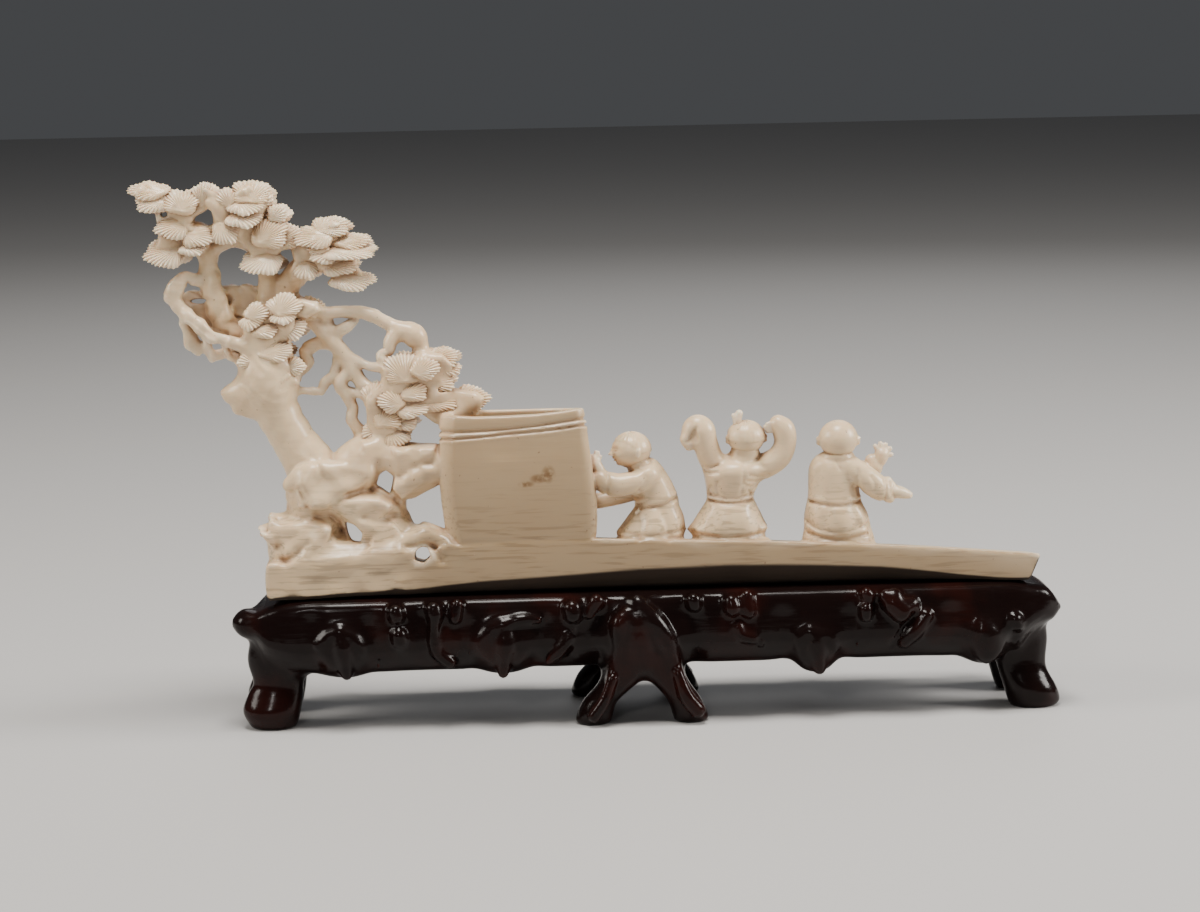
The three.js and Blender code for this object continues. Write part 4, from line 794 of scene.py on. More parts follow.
# Lines that are drawn on the robes with a fine gouge, and hems left standing beside them:
# [(x, z), ...], width, depth.
ROBE_LINES = [
    # pushing boy: collar, jacket hem, folds at the elbow, folds of the back and skirt
    ([(4.6, 63), (8.4, 61.2), (12.6, 63.2)], 0.5, 0.42),
    ([(8.8, 52), (14, 52.7), (19.2, 54.4)], 0.5, 0.45),
    ([(9, 53), (14, 53.8), (19, 55.4)], 0.6, -0.15),
    ([(4.4, 54.8), (7, 55.6), (9.2, 57)], 0.5, 0.42),
    ([(5.6, 54), (8, 54.2), (10.2, 55)], 0.5, 0.42),
    ([(7.4, 53.2), (9.2, 52.8), (10.8, 53.4)], 0.45, 0.5),
    ([(9.6, 57.4), (10.6, 58.8), (10.8, 60.4)], 0.6, 0.35),
    ([(15.6, 60.4), (16.8, 57.6), (17.8, 55.4)], 0.7, 0.25),
    ([(9.2, 51), (9.8, 48.4), (9.2, 45.2)], 0.7, 0.35),
    ([(14.6, 51.8), (16, 48.4), (16.4, 45)], 0.8, 0.3),
    ([(5.2, 46.4), (12, 45.8), (20, 46.6)], 0.45, 0.3),
    ([(1.8, 60.8), (2.2, 58.4), (1.6, 56.2)], 0.45, 0.4),
    # cheering boy: collar, seam, belt, folds at both armpits and waist, hem
    ([(32.1, 65.4), (31.9, 63.4), (34, 62.9), (37, 62.9), (38.9, 63.6), (39, 65.4)], 0.45, 0.42),
    ([(34.9, 62.6), (34.6, 58.8), (34.2, 55.2)], 0.4, 0.26),
    ([(26.2, 54.9), (32, 54.3), (37.8, 54.9)], 0.42, 0.42),
    ([(26.2, 53.5), (32, 52.9), (37.8, 53.4)], 0.42, 0.45),
    ([(26, 54.2), (32, 53.6), (38, 54.1)], 0.4, -0.14),
    ([(25.4, 61.8), (27.2, 61.8), (28.8, 62.2)], 0.45, 0.5),
    ([(25.6, 60.8), (27, 60.4), (28.6, 60.6)], 0.45, 0.5),
    ([(28.6, 58.4), (28.4, 56.6), (28.8, 55.2)], 0.45, 0.45),
    ([(27, 56.8), (26.8, 55.8), (27.2, 55)], 0.4, 0.4),
    ([(41, 59.6), (38.6, 59.2), (36.4, 59.8)], 0.45, 0.5),
    ([(40, 58.4), (37.8, 58), (35.8, 58.4)], 0.45, 0.5),
    ([(39, 57.2), (36.8, 56.8), (35, 57.6)], 0.45, 0.45),
    ([(36, 56), (36.2, 55.6), (36.6, 55)], 0.4, 0.4),
    ([(40.2, 61.4), (38.8, 62.4), (38, 63.4)], 0.6, 0.3),
    ([(22.6, 45.9), (27, 45.2), (33, 44.9), (41, 45.4)], 0.5, 0.42),
    ([(26.4, 51.6), (25, 49.4), (24.4, 47.4)], 0.7, 0.3),
    ([(37.2, 51.6), (38.6, 49.2), (39.4, 47.4)], 0.7, 0.3),
    ([(21.4, 68.2), (22.6, 69.6), (23.6, 71.6)], 0.5, 0.4),
    # clapping boy: collar, jacket hem, skirt hems, folds, sleeve seam and ruffled cuff
    ([(53.2, 63.8), (58, 62.7), (62.8, 63.9)], 0.5, 0.42),
    ([(57.6, 62.4), (57.9, 61.6), (58.2, 60.8)], 0.4, 0.3),
    ([(50.6, 52.6), (57.5, 51.7), (64.2, 52.3)], 0.5, 0.5),
    ([(50.6, 53.6), (57.5, 52.8), (64.2, 53.3)], 0.6, -0.15),
    ([(49.6, 48.2), (52.6, 46.2), (57, 45.4), (62, 45.9), (66.2, 47.2)], 0.5, 0.42),
    ([(51, 44.8), (57.8, 43.5), (65, 44.4)], 0.5, 0.5),
    ([(49.8, 47.4), (53, 45.2), (57, 44.6)], 0.5, -0.14),
    ([(62.6, 60.4), (62.6, 57.4), (63.4, 54.4)], 0.6, 0.42),
    ([(61.6, 56.6), (61.2, 55), (61.6, 53.6)], 0.5, 0.3),
    ([(53.6, 60.6), (53, 57.6), (53.4, 54.6)], 0.8, 0.25),
    ([(65.8, 58.6), (66.6, 57.2), (66.8, 55.4)], 0.5, 0.35),
    ([(55.4, 51), (54.6, 48.8), (54.4, 46.6)], 0.8, 0.25),
    ([(61, 51), (62, 48.8), (62.8, 46.8)], 0.8, 0.25),
    ([(69.3, 57.4), (69.5, 55), (69, 52.2)], 0.4, 0.42),
    ([(70.6, 57.2), (70.4, 55.4), (70.9, 53.6)], 0.35, 0.35),
    ([(71.6, 56), (71.2, 54.6), (71.7, 53.2)], 0.35, 0.35),
]


def carve_body():
    """The whole field: slice, rock, vat, pine limbs and crown hearts, and the boys."""
    field = Field(IVORY_LOW, IVORY_HIGH, PITCH)
    field.add(slice_shape, (BASE_LEFT - 1, SAWN_FACE_Y, 32), (BASE_RIGHT + 1, BACK_Y, 46), 0.5)
    for centre, half, turn in BOULDERS:
        add_ball(field, centre, half, turn, 2.2)
    for route in TONGUES:
        add_limb(field, route, 1.6)
    for route in RIDGES:
        add_limb(field, [(x, y + RIDGE_SINK, z, radius) for x, y, z, radius in route], 1.5)
    for centre, half in ROCK_FILL:
        add_ball(field, centre, half, soft=1.8)
    for outline, middle_y, half, lean in ROCK_SLABS:
        add_panel(field, outline, middle_y, half, 2.0, 0.9, billow=SLAB_BILLOW, rounding=2.0,
                  lean=lean)
    add_limb(field, ROCK_LIP, 1.2)
    for path, width, depth in FURROWS:
        field.engrave(path, width, depth, *ROCK_FRONT)
    field.roughen(*ROCK_MARKS)
    for outline in ROCK_HOLES:
        corners = np.array(outline)
        field.cut(sloping_hole(outline), (corners[:, 0].min() - 1, -16, corners[:, 1].min() - 6),
                  (corners[:, 0].max() + 1, 16, corners[:, 1].max() + 6), 0.8)
    field.add(vat_outside, (-39, -13.2, 44), (0, 8, 79), 0.4)
    add_pushing_boy(field)
    add_cheering_boy(field)
    add_clapping_boy(field)
    for path, width, depth in ROBE_LINES:
        field.engrave(path, width, depth, -16, BOY_Y)
    for centre, half in NECKS:
        add_ball(field, centre, half, soft=0.8)
    field.cut(vat_inside, (-37, -11, 51.5), (-3, 6, 80), 0.5)
    add_panel(field, PINE_WEB, WEB_MIDDLE_Y, WEB_HALF_THICKNESS, 0.5, 1.0)
    for route in PINE_LIMBS:
        add_limb(field, route, 1.1)
    for outline, middle_y, half in CROWNS:
        add_panel(field, outline, middle_y, half, 1.0, 1.6, billow=CROWN_BILLOW, rounding=1.6)
    for row in PINE_MARKS:
        field.roughen(*row)
    for centre, half in PINE_SLOTS:
        field.cut(oval_hole(centre, half), (centre[0] - 3, -9, centre[1] - 3),
                  (centre[0] + 3, 9, centre[1] + 3), 0.5)
    return field


def new_mesh(name, points, triangles):
    """Mesh of points in the drawing's millimetres, taken to the row's frame in metres."""
    mesh = bpy.data.meshes.new(name)
    place = ((points + DRAWING_SHIFT) / 1000).astype(np.float32)
    mesh.vertices.add(len(place))
    mesh.vertices.foreach_set("co", place.ravel())
    mesh.loops.add(3 * len(triangles))
    mesh.loops.foreach_set("vertex_index", triangles.astype(np.int32).ravel())
    mesh.polygons.add(len(triangles))
    mesh.polygons.foreach_set("loop_start", 3 * np.arange(len(triangles), dtype=np.int32))
    mesh.update(calc_edges=True)
    mesh.validate()
    return mesh


def new_object(name, mesh):
    """Object at the origin that shows a mesh."""
    thing = bpy.data.objects.new(name, mesh)
    bpy.context.scene.collection.objects.link(thing)
    return thing


def outward(points, triangles):
    """Faces turned round where the signed volume is negative."""
    a, b, c = (points[triangles[:, i]] for i in range(3))
    volume = np.einsum("ij,ij->", a, np.cross(b, c))
    return triangles[:, ::-1] if volume < 0 else triangles


def closed_rings(rings, first, last):
    """Closed surface over rings of equal size, with a point at each end."""
    count, around = rings.shape[:2]
    points = np.vstack([rings.reshape(-1, 3), [first], [last]])
    i = np.arange(around)
    j = (i + 1) % around
    faces = []
    for ring in range(count - 1):
        a = ring * around
        b = a + around
        faces.append(np.stack([a + i, a + j, b + j], 1))
        faces.append(np.stack([a + i, b + j, b + i], 1))
    end = (count - 1) * around
    start_point = np.full(around, count * around)
    faces.append(np.stack([start_point, j, i], 1))
    faces.append(np.stack([start_point + 1, end + i, end + j], 1))
    return points, outward(points, np.vstack(faces))


def applied(thing):
    """Replaces the mesh by what its modifiers make of it."""
    graph = bpy.context.evaluated_depsgraph_get()
    graph.update()
    mesh = bpy.data.meshes.new_from_object(thing.evaluated_get(graph))
    thing.modifiers.clear()
    thing.data = mesh


def thinned_body(name, mesh_name, field, wanted):
    """Object that shows a field's surface, thinned to so many triangles."""
    points, triangles = field.surface()
    body = new_object(name, new_mesh(mesh_name, points, triangles))
    fewer = body.modifiers.new("fewer", "DECIMATE")
    fewer.ratio = min(1.0, wanted / len(triangles))
    applied(body)
    return body


# Needle tufts: thick shells whose needles spread from a hub that lies off the middle. Rows are
# (x, y, z, half width, half height, way that the needles point), first on the side that shows.
TUFTS = [
    # left crown
    (-106.2, -2.4, 131.2, 4.4, 1.9, 160), (-105.4, -3.0, 128.2, 3.7, 2.2, 200),
    (-98.5, -3.4, 128.3, 4.1, 2.6, 95), (-93.2, -2.6, 129.8, 2.6, 2.9, 80),
    (-100.4, -3.2, 122.4, 4.2, 2.7, 205), (-95.1, -3.8, 120, 3.8, 2.3, -20),
    (-102.6, -3.2, 116.2, 4.7, 3.2, 210), (-96.3, -4.0, 117.2, 3.1, 1.6, -35),
    # middle crown
    (-88.4, -4.0, 120.9, 3.2, 2.8, -65), (-82, -3.0, 130.2, 4.6, 2.6, 90),
    (-83.3, -4.2, 127, 4.1, 1.9, -60), (-83.7, -4.6, 124.2, 4.1, 2.1, -45),
    (-77.8, -4.2, 120.4, 4.2, 3.4, 45), (-73.1, -3.0, 119.7, 3.1, 2.7, 30),
    (-79.8, -4.0, 113.6, 4.8, 2.8, 235), (-79.1, -2.4, 128.2, 2.2, 3.1, 20),
    # right crown
    (-67.1, -3.8, 119.3, 4.6, 2.4, 185), (-63.4, -2.4, 121.6, 4.3, 2.3, 35),
    (-58.3, -3.0, 118, 4.1, 1.8, 20), (-59, -4.0, 115.8, 6.6, 1.7, 0),
    (-64.8, -4.4, 114.7, 3.1, 1.7, 215), (-69.2, -3.4, 111.4, 2.9, 2.2, -90),
    (-58.3, -3.4, 108.7, 5.1, 2.3, -20), (-61.6, -3.2, 112.2, 4.2, 2.1, -10),
    # trunk
    (-81.3, -5.6, 101.5, 2.9, 2.4, 25), (-74.7, -6.0, 103.2, 3.9, 2.7, 60),
    (-75.2, -6.6, 100.4, 2.9, 1.5, -80), (-83.1, -5.8, 99.2, 2.4, 1.7, -60),
    (-79.6, -6.2, 97.4, 3.1, 1.7, 0), (-73.2, -5.2, 97.7, 3.3, 2.7, -20),
    (-77.4, -6.4, 92.4, 4.0, 2.3, 30), (-83.6, -5.6, 90, 2.5, 2.0, 150),
    (-72.7, -5.2, 88.4, 2.4, 2.1, 10), (-77.1, -6.4, 86.5, 3.2, 2.0, 190),
    (-68.8, -1.6, 102.2, 3.3, 2.3, 45),
    # lower cluster
    (-46.7, -6.4, 87.2, 4.4, 3.5, 100), (-38.1, -4.4, 89.4, 4.4, 2.4, 20),
    (-35.9, -4.8, 86.8, 3.1, 1.6, -15), (-38.4, -5.4, 84, 3.7, 2.8, 20),
    (-53.2, -5.8, 80.8, 3.6, 3.0, 60), (-44.5, -6.8, 81.7, 3.3, 2.2, 30),
    (-45.3, -6.8, 77.8, 4.1, 2.0, 20), (-38.3, -5.8, 79.1, 4.2, 2.2, 10),
    (-31, -4.8, 79.4, 4.5, 2.9, 20), (-51, -6.6, 75.5, 3.5, 2.6, 45),
    (-49.4, -6.4, 70.9, 3.5, 2.6, -60), (-54.6, -5.4, 72, 2.4, 2.1, 200),
    (-46.4, -6.2, 73.9, 2.5, 1.6, -10), (-41.6, -7.3, 87.4, 3.4, 2.5, 40),
    (-49.6, -7.2, 79.6, 3.2, 2.6, 150), (-87.6, -3.4, 129.0, 2.6, 2.2, 110),
    (-75.8, -3.6, 125.0, 2.4, 2.2, 40), (-66.2, -3.8, 116.6, 2.6, 1.8, 160),
]
BACK_TUFT_Y = 2.9
BACK_SHIFT = (0.9, -0.5)
BACK_TUFT_WIDTH = 0.94
NEEDLE_PITCH = 0.45
NEEDLE_RIDGE = 0.115
TUFT_DOME = 0.95
TUFT_TILT = 0.78
TUFT_HUB = 0.68
TUFT_LEAN = 0.45
TUFT_GROWTH = 1.08
SHELL = np.array([
    # share of the way from hub to rim, height as a share of the dome, share of the ridge
    (0.08, 0.78, 0.0), (0.34, 0.93, 0.6), (0.60, 0.92, 0.95), (0.80, 0.72, 1.0),
    (0.94, 0.36, 1.0), (1.0, -0.10, 0.7), (0.92, -0.55, 0.2),
])


def tuft_surface(x, y, z, half_width, half_height, way, side):
    """
    Shell over an oval: column k runs from the hub to the rim at angle k, and odd columns lie
    lower and end shorter, which leaves a ridge for each needle. The needles stand proud on the
    way they point and sink in behind the hub, and the rim is lobed. The shell leans back where
    it shows low, and narrows behind to a root in the middle of the tree.
    """
    half_width, half_height = TUFT_GROWTH * half_width, TUFT_GROWTH * half_height
    around = math.pi * (half_width + half_height)
    columns = 2 * max(9, round(around / NEEDLE_PITCH / 2))
    angle = 2 * math.pi * np.arange(columns) / columns
    ridge = np.where(np.arange(columns) % 2, -1.0, 1.0)
    towards = math.radians(way)
    facing = 0.5 + 0.5 * np.cos(angle - towards)
    reach = 1 + ridge * (0.01 + 0.045 * facing) + 0.085 * np.sin(4 * angle + 3 * x)
    reach = reach + 0.045 * np.sin(7 * angle + 5 * z) * facing
    rim_u = reach * np.cos(angle)
    rim_v = reach * np.sin(angle)
    hub_u = -TUFT_HUB * math.cos(towards)
    hub_v = -TUFT_HUB * math.sin(towards)
    lean = TUFT_LEAN * math.sqrt(max(half_width ** 2 - half_height ** 2, 0))
    tall = math.hypot(lean, half_height)
    normal = np.array([0, side * half_height / tall, 0.55 * lean / tall])
    share, dome, grooved = SHELL[:, :1], SHELL[:, 1:2], SHELL[:, 2:]
    u = hub_u * (1 - share) + rim_u * share
    v = hub_v * (1 - share) + rim_v * share
    out = TUFT_DOME * dome + NEEDLE_RIDGE * grooved * ridge * (0.2 + 0.8 * facing)
    out = out + TUFT_TILT * (share * (1.9 * facing - 1.1) + 0.1)

    def point(u, v, out, deep=0.0):
        return np.stack([x + u * half_width + 0 * out,
                         y - side * v * lean + out * normal[1] - side * deep,
                         z + v * half_height + out * normal[2] - 0.3 * TUFT_DOME * abs(normal[2])],
                        -1)

    rings = point(u, v, out)
    waist = point(hub_u * 0.4 + rim_u[None] * 0.5, hub_v * 0.4 + rim_v[None] * 0.5,
                  0 * out[:1] - 0.7, 0.5 * abs(y))
    root = point(np.array(hub_u), np.array(hub_v), np.array(0.0), abs(y) + TUFT_DOME)
    top = point(np.array(hub_u), np.array(hub_v), np.array(TUFT_DOME * 0.75))
    return closed_rings(np.concatenate([rings, waist]), top, root)


def back_tufts():
    """Two of every three tufts again, narrower, on the side that does not show."""
    kept = [row for index, row in enumerate(TUFTS) if index % 3 != 1]
    return [tuft_surface(x + BACK_SHIFT[0], BACK_TUFT_Y + 0.5 * min(0, y + 4), z + BACK_SHIFT[1],
                         BACK_TUFT_WIDTH * half_width, half_height, way, 1)
            for x, y, z, half_width, half_height, way in kept]


# Heads: each is an oval over longitude and latitude, with low round swellings for the features
# of a calm child's face. Rows of features are (longitude, latitude, width, height, swelling).
FACE = [
    (0, 20, 36, 10, 0.14), (22, 9, 12, 7, -0.50), (-22, 9, 12, 7, -0.50),
    (22, 7, 9, 4.5, 0.34), (-22, 7, 9, 4.5, 0.34), (22, 4, 9, 1.7, -0.26), (-22, 4, 9, 1.7, -0.26),
    (22, 13, 10, 2, 0.12), (-22, 13, 10, 2, 0.12),
    (0, 2, 5, 10, 0.45), (0, -8, 7, 5, 0.95), (8, -10, 4.5, 4, 0.36), (-8, -10, 4.5, 4, 0.36),
    (36, -15, 18, 14, 0.34), (-36, -15, 18, 14, 0.34), (0, -21.5, 12, 3.5, 0.46),
    (0, -25.5, 12, 1.9, -0.40), (0, -29.5, 10, 3.4, 0.46), (0, -35, 12, 3, -0.12),
    (0, -44, 16, 8, 0.42),
]
EARS = [(96, -3, 6.5, 13, 0.80), (-96, -3, 6.5, 13, 0.80), (94, -2, 3.2, 7.5, -0.4),
        (-94, -2, 3.2, 7.5, -0.4)]
HEAD_ROWS = 53
HEAD_COLUMNS = 80


def head_surface(centre, half, facing, tilt, hair=0.0):
    """
    Oval head that faces a compass angle and tilts: radius = oval + features, each a bell curve
    of longitude and latitude, + ears with flatter tops + a cap of hair with fine strands above
    a hairline.
    """
    turn = np.linspace(-math.pi, math.pi, HEAD_COLUMNS + 1)[:-1]
    longitude = np.degrees(turn - 0.4 * np.sin(turn))[None]
    latitude = np.linspace(-84, 84, HEAD_ROWS)[:, None]
    swelling = np.zeros((HEAD_ROWS, HEAD_COLUMNS))
    for at_lon, at_lat, wide, high, rise in FACE:
        swelling += rise * np.exp(-((longitude - at_lon) / wide) ** 2
                                  - ((latitude - at_lat) / high) ** 2)
    for at_lon, at_lat, wide, high, rise in EARS:
        swelling += rise * np.exp(-(((longitude - at_lon) / wide) ** 2
                                    + ((latitude - at_lat) / high) ** 2) ** 2)
    if hair:
        line = 34 - 40 * np.clip((np.abs(longitude) - 50) / 60, 0, 1) ** 1.5
        cap = np.clip((latitude - line) / 4, 0, 1)
        strands = 0.06 * np.cos(np.radians(longitude * 22))
        swelling += cap * (hair + strands)
    lon, lat = np.radians(longitude), np.radians(latitude)
    jaw = 1 - 0.10 * np.clip(-latitude / 60, 0, 1)
    local = np.stack([(half[0] + swelling) * np.cos(lat) * np.cos(lon) * np.sqrt(jaw),
                      (half[1] + swelling) * np.cos(lat) * np.sin(lon) * jaw,
                      (half[2] + swelling) * np.sin(lat) + 0 * lon], -1)
    pitch = math.radians(tilt)
    forward = (math.cos(math.radians(facing)), math.sin(math.radians(facing)))
    ahead = local[..., 0] * math.cos(pitch) + local[..., 2] * math.sin(pitch)
    up = -local[..., 0] * math.sin(pitch) + local[..., 2] * math.cos(pitch)
    rings = np.stack([centre[0] + ahead * forward[0] - local[..., 1] * forward[1],
                      centre[1] + ahead * forward[1] + local[..., 1] * forward[0],
                      centre[2] + up], -1)
    return closed_rings(rings, rings[0].mean(0), rings[-1].mean(0))


HEADS = [
    # centre, half sizes front to back, across and up, facing, tilt, hair
    ((8.0, -6.2, 66.0), (4.8, 4.4, 4.4), 190, 0, 0.14),
    ((35.9, -6.2, 68.3), (4.3, 4.6, 4.1), 96, -4, 0.24),
    ((58.4, -6.4, 67.4), (4.7, 4.8, 4.75), 84, -2, 0.0),
]


def join_to(body, surfaces):
    """Joins closed surfaces to a body's mesh, as one solid."""
    group = bpy.data.collections.new("joined")
    for index, (points, triangles) in enumerate(surfaces):
        thing = bpy.data.objects.new(f"joined_{index}", new_mesh("joined", points, triangles))
        group.objects.link(thing)
    bpy.context.scene.collection.children.link(group)
    union = body.modifiers.new("join", "BOOLEAN")
    union.operation = "UNION"
    union.operand_type = "COLLECTION"
    union.collection = group
    union.solver = "MANIFOLD"
    applied(body)
    for thing in list(group.objects):
        bpy.data.objects.remove(thing)
    bpy.data.collections.remove(group)


CREASE_SHARE = 0.8


def crease(mesh, places, normals):
    """Mean slope of a vertex's edges against its normal: above 0 in a valley, below on a crest."""
    ends = np.empty(2 * len(mesh.edges), np.int32)
    mesh.edges.foreach_get("vertices", ends)
    a, b = ends.reshape(-1, 2).T
    way = places[b] - places[a]
    way /= np.maximum(np.linalg.norm(way, axis=1, keepdims=True), 1e-6)
    total = np.zeros(len(places))
    count = np.zeros(len(places))
    for vertex, sign in ((a, 1), (b, -1)):
        np.add.at(total, vertex, sign * np.einsum("ij,ij->i", way, normals[vertex]))
        np.add.at(count, vertex, 1)
    return total / np.maximum(count, 1)


def relief(mesh, pitch, reaches):
    """
    How deep each vertex lies in a crevice, and how far it stands out on an edge, from 0 on an
    open face to 1: a level set is made of the mesh, and read along the normal at a few distances
    outside and inside. Beside a flat face it reads the distance itself.
    """
    count = len(mesh.vertices)
    places = np.empty(3 * count, np.float32)
    normals = np.empty(3 * count, np.float32)
    mesh.vertices.foreach_get("co", places)
    mesh.vertex_normals.foreach_get("vector", normals)
    places = places.reshape(-1, 3) * 1000 / pitch
    normals = normals.reshape(-1, 3)
    mesh.calc_loop_triangles()
    corners = np.empty(3 * len(mesh.loop_triangles), np.int32)
    mesh.loop_triangles.foreach_get("vertices", corners)
    band = max(reaches) / pitch + 2
    grid = openvdb.FloatGrid.createLevelSetFromPolygons(
        places, triangles=corners.reshape(-1, 3).astype(np.uint32), halfWidth=band)
    low = np.floor(places.min(0) - band - 2).astype(int)
    size = np.ceil(places.max(0) + band + 2).astype(int) - low + 1
    values = np.empty(size, np.float32)
    grid.copyToArray(values, tuple(int(v) for v in low))
    hollow = np.zeros(count)
    raised = np.zeros(count)
    for reach in reaches:
        steps = reach / pitch
        for side in (1, -1):
            at = np.round(places + side * normals * steps - low).astype(int)
            share = side * values[at[:, 0], at[:, 1], at[:, 2]] / steps
            share = np.clip(1 - share, 0, 1)
            if side > 0:
                hollow += share
            else:
                raised += share
    bend = crease(mesh, places * pitch, normals)
    hollow = hollow / len(reaches) + CREASE_SHARE * np.clip(bend, 0, 1)
    raised = raised / len(reaches) + CREASE_SHARE * np.clip(-bend, 0, 1)
    return np.clip(hollow, 0, 1), np.clip(raised, 0, 1)


def keep_relief(mesh, hollow, raised):
    """Stores two numbers for each vertex, for the materials."""
    for name, values in (("hollow", hollow), ("raised", raised)):
        attribute = mesh.attributes.new(name, "FLOAT", "POINT")
        attribute.data.foreach_set("value", values.astype(np.float32))


BODY_TRIANGLES = 114000
SHARP_DEGREES = 48
RELIEF_PITCH = 0.4
RELIEF_REACHES = (0.5, 1.1, 2.2, 3.8)
THIN_WALL_REACHES = (0.5, 1.0)
# Where the vat's wall lies along X and from what height up, and how softly that ends, in metres.
VAT_SPAN = (-0.0405, -0.0020)
VAT_LEVEL = 0.0455
VAT_FADE = 0.0012


def on_vat(mesh):
    """1 at the vertices of the vat's thin wall and 0 elsewhere, with a soft edge."""
    places = np.empty(3 * len(mesh.vertices), np.float32)
    mesh.vertices.foreach_get("co", places)
    x, _, z = places.reshape(-1, 3).T
    inner = np.minimum(np.minimum(x - VAT_SPAN[0], VAT_SPAN[1] - x), z - VAT_LEVEL)
    return np.clip(inner / VAT_FADE, 0, 1)


def ivory_carving():
    """
    The body's field as a mesh of few faces, with the tufts and heads joined to it. The vat's
    wall is so thin that only the short reaches tell its edges from its open face.
    """
    body = thinned_body("ivory_carving_fine", "ivory", carve_body(), BODY_TRIANGLES)
    shells = [tuft_surface(*row, -1) for row in TUFTS]
    heads = [head_surface(*row) for row in HEADS]
    join_to(body, shells + back_tufts() + heads)
    mesh = body.data
    mesh.polygons.foreach_set("use_smooth", np.ones(len(mesh.polygons), bool))
    mesh.set_sharp_from_angle(angle=math.radians(SHARP_DEGREES))
    hollow, raised = relief(mesh, RELIEF_PITCH, RELIEF_REACHES)
    _, edges = relief(mesh, RELIEF_PITCH, THIN_WALL_REACHES)
    keep_relief(mesh, hollow, raised + (edges - raised) * on_vat(mesh))
    return body


def node_group(name, inputs, outputs):
    """Empty node group with its inputs (name, kind, value) and outputs (name, kind)."""
    group = bpy.data.node_groups.new(name, "ShaderNodeTree")
    for label, kind, value in inputs:
        socket = group.interface.new_socket(label, in_out="INPUT", socket_type=kind)
        if value is not None:
            socket.default_value = value
    for label, kind in outputs:
        group.interface.new_socket(label, in_out="OUTPUT", socket_type=kind)
    start = group.nodes.new("NodeGroupInput")
    end = group.nodes.new("NodeGroupOutput")
    return group, start, end


def math_node(tree, operation, first, second, clamp=False):
    """Math node whose inputs are numbers or sockets; gives its output socket."""
    node = tree.nodes.new("ShaderNodeMath")
    node.operation = operation
    node.use_clamp = clamp
    for index, value in enumerate((first, second)):
        if isinstance(value, (int, float)):
            node.inputs[index].default_value = value
        else:
            tree.links.new(value, node.inputs[index])
    return node.outputs[0]


def times(tree, first, second):
    """Product of two numbers or sockets."""
    return math_node(tree, "MULTIPLY", first, second)


def ramp_between(tree, value, low, high):
    """Smooth step of a value, 0 at low and 1 at high."""
    node = tree.nodes.new("ShaderNodeMapRange")
    node.interpolation_type = "SMOOTHSTEP"
    node.inputs["From Min"].default_value = low
    node.inputs["From Max"].default_value = high
    tree.links.new(value, node.inputs["Value"])
    return node.outputs["Result"]


def noise(tree, vector, scale, detail, roughness=0.55):
    """Noise at a scale in turns per metre; gives its value socket."""
    node = tree.nodes.new("ShaderNodeTexNoise")
    node.inputs["Scale"].default_value = scale
    node.inputs["Detail"].default_value = detail
    node.inputs["Roughness"].default_value = roughness
    tree.links.new(vector, node.inputs["Vector"])
    return node.outputs["Fac"]


def blend_colour(tree, mask, first, second):
    """Mix of two colours, given as sockets or as linear values, by a mask."""
    node = tree.nodes.new("ShaderNodeMix")
    node.data_type = "RGBA"
    tree.links.new(mask, node.inputs["Factor"])
    for name, value in (("A", first), ("B", second)):
        socket = next(i for i in node.inputs if i.name == name and i.type == "RGBA")
        if isinstance(value, tuple):
            socket.default_value = (*value, 1)
        else:
            tree.links.new(value, socket)
    return next(o for o in node.outputs if o.type == "RGBA")


def covered(tree, colour, layers):
    """A colour under layers of (mask, share, tint): each covers by its mask times its share."""
    for mask, share, tint in layers:
        colour = blend_colour(tree, times(tree, mask, share), colour, tint)
    return colour


def add_bump(tree, shader, height, strength, distance):
    """Fine relief in the shading, from a height."""
    bump = tree.nodes.new("ShaderNodeBump")
    bump.inputs["Strength"].default_value = strength
    bump.inputs["Distance"].default_value = distance
    tree.links.new(height, bump.inputs["Height"])
    tree.links.new(bump.outputs["Normal"], shader.inputs["Normal"])


def started_material(name):
    """Material with its tree, its shader and the place in the object's frame."""
    material = bpy.data.materials.new(name)
    material.use_nodes = True
    tree = material.node_tree
    place = tree.nodes.new("ShaderNodeTexCoord").outputs["Object"]
    return material, tree, tree.nodes["Principled BSDF"], place


def drawn_grain():
    """Grain drawn out along X: noise over a squeezed vector, as lines and as their height."""
    group, start, end = node_group(
        "drawn_grain",
        [("Vector", "NodeSocketVector", None), ("Lines", "NodeSocketFloat", 900.0),
         ("Squeeze", "NodeSocketFloat", 0.04)],
        [("Lines", "NodeSocketFloat"), ("Fine", "NodeSocketFloat")])
    split = group.nodes.new("ShaderNodeSeparateXYZ")
    group.links.new(start.outputs["Vector"], split.inputs[0])
    join = group.nodes.new("ShaderNodeCombineXYZ")
    group.links.new(times(group, split.outputs[0], start.outputs["Squeeze"]), join.inputs[0])
    group.links.new(split.outputs[1], join.inputs[1])
    group.links.new(split.outputs[2], join.inputs[2])
    for label, finer in (("Lines", 1.0), ("Fine", 2.7)):
        node = group.nodes.new("ShaderNodeTexNoise")
        node.inputs["Detail"].default_value = 4.0
        node.inputs["Distortion"].default_value = 0.35
        group.links.new(join.outputs[0], node.inputs["Vector"])
        group.links.new(times(group, start.outputs["Lines"], finer), node.inputs["Scale"])
        group.links.new(node.outputs["Fac"], end.inputs[label])
    return group


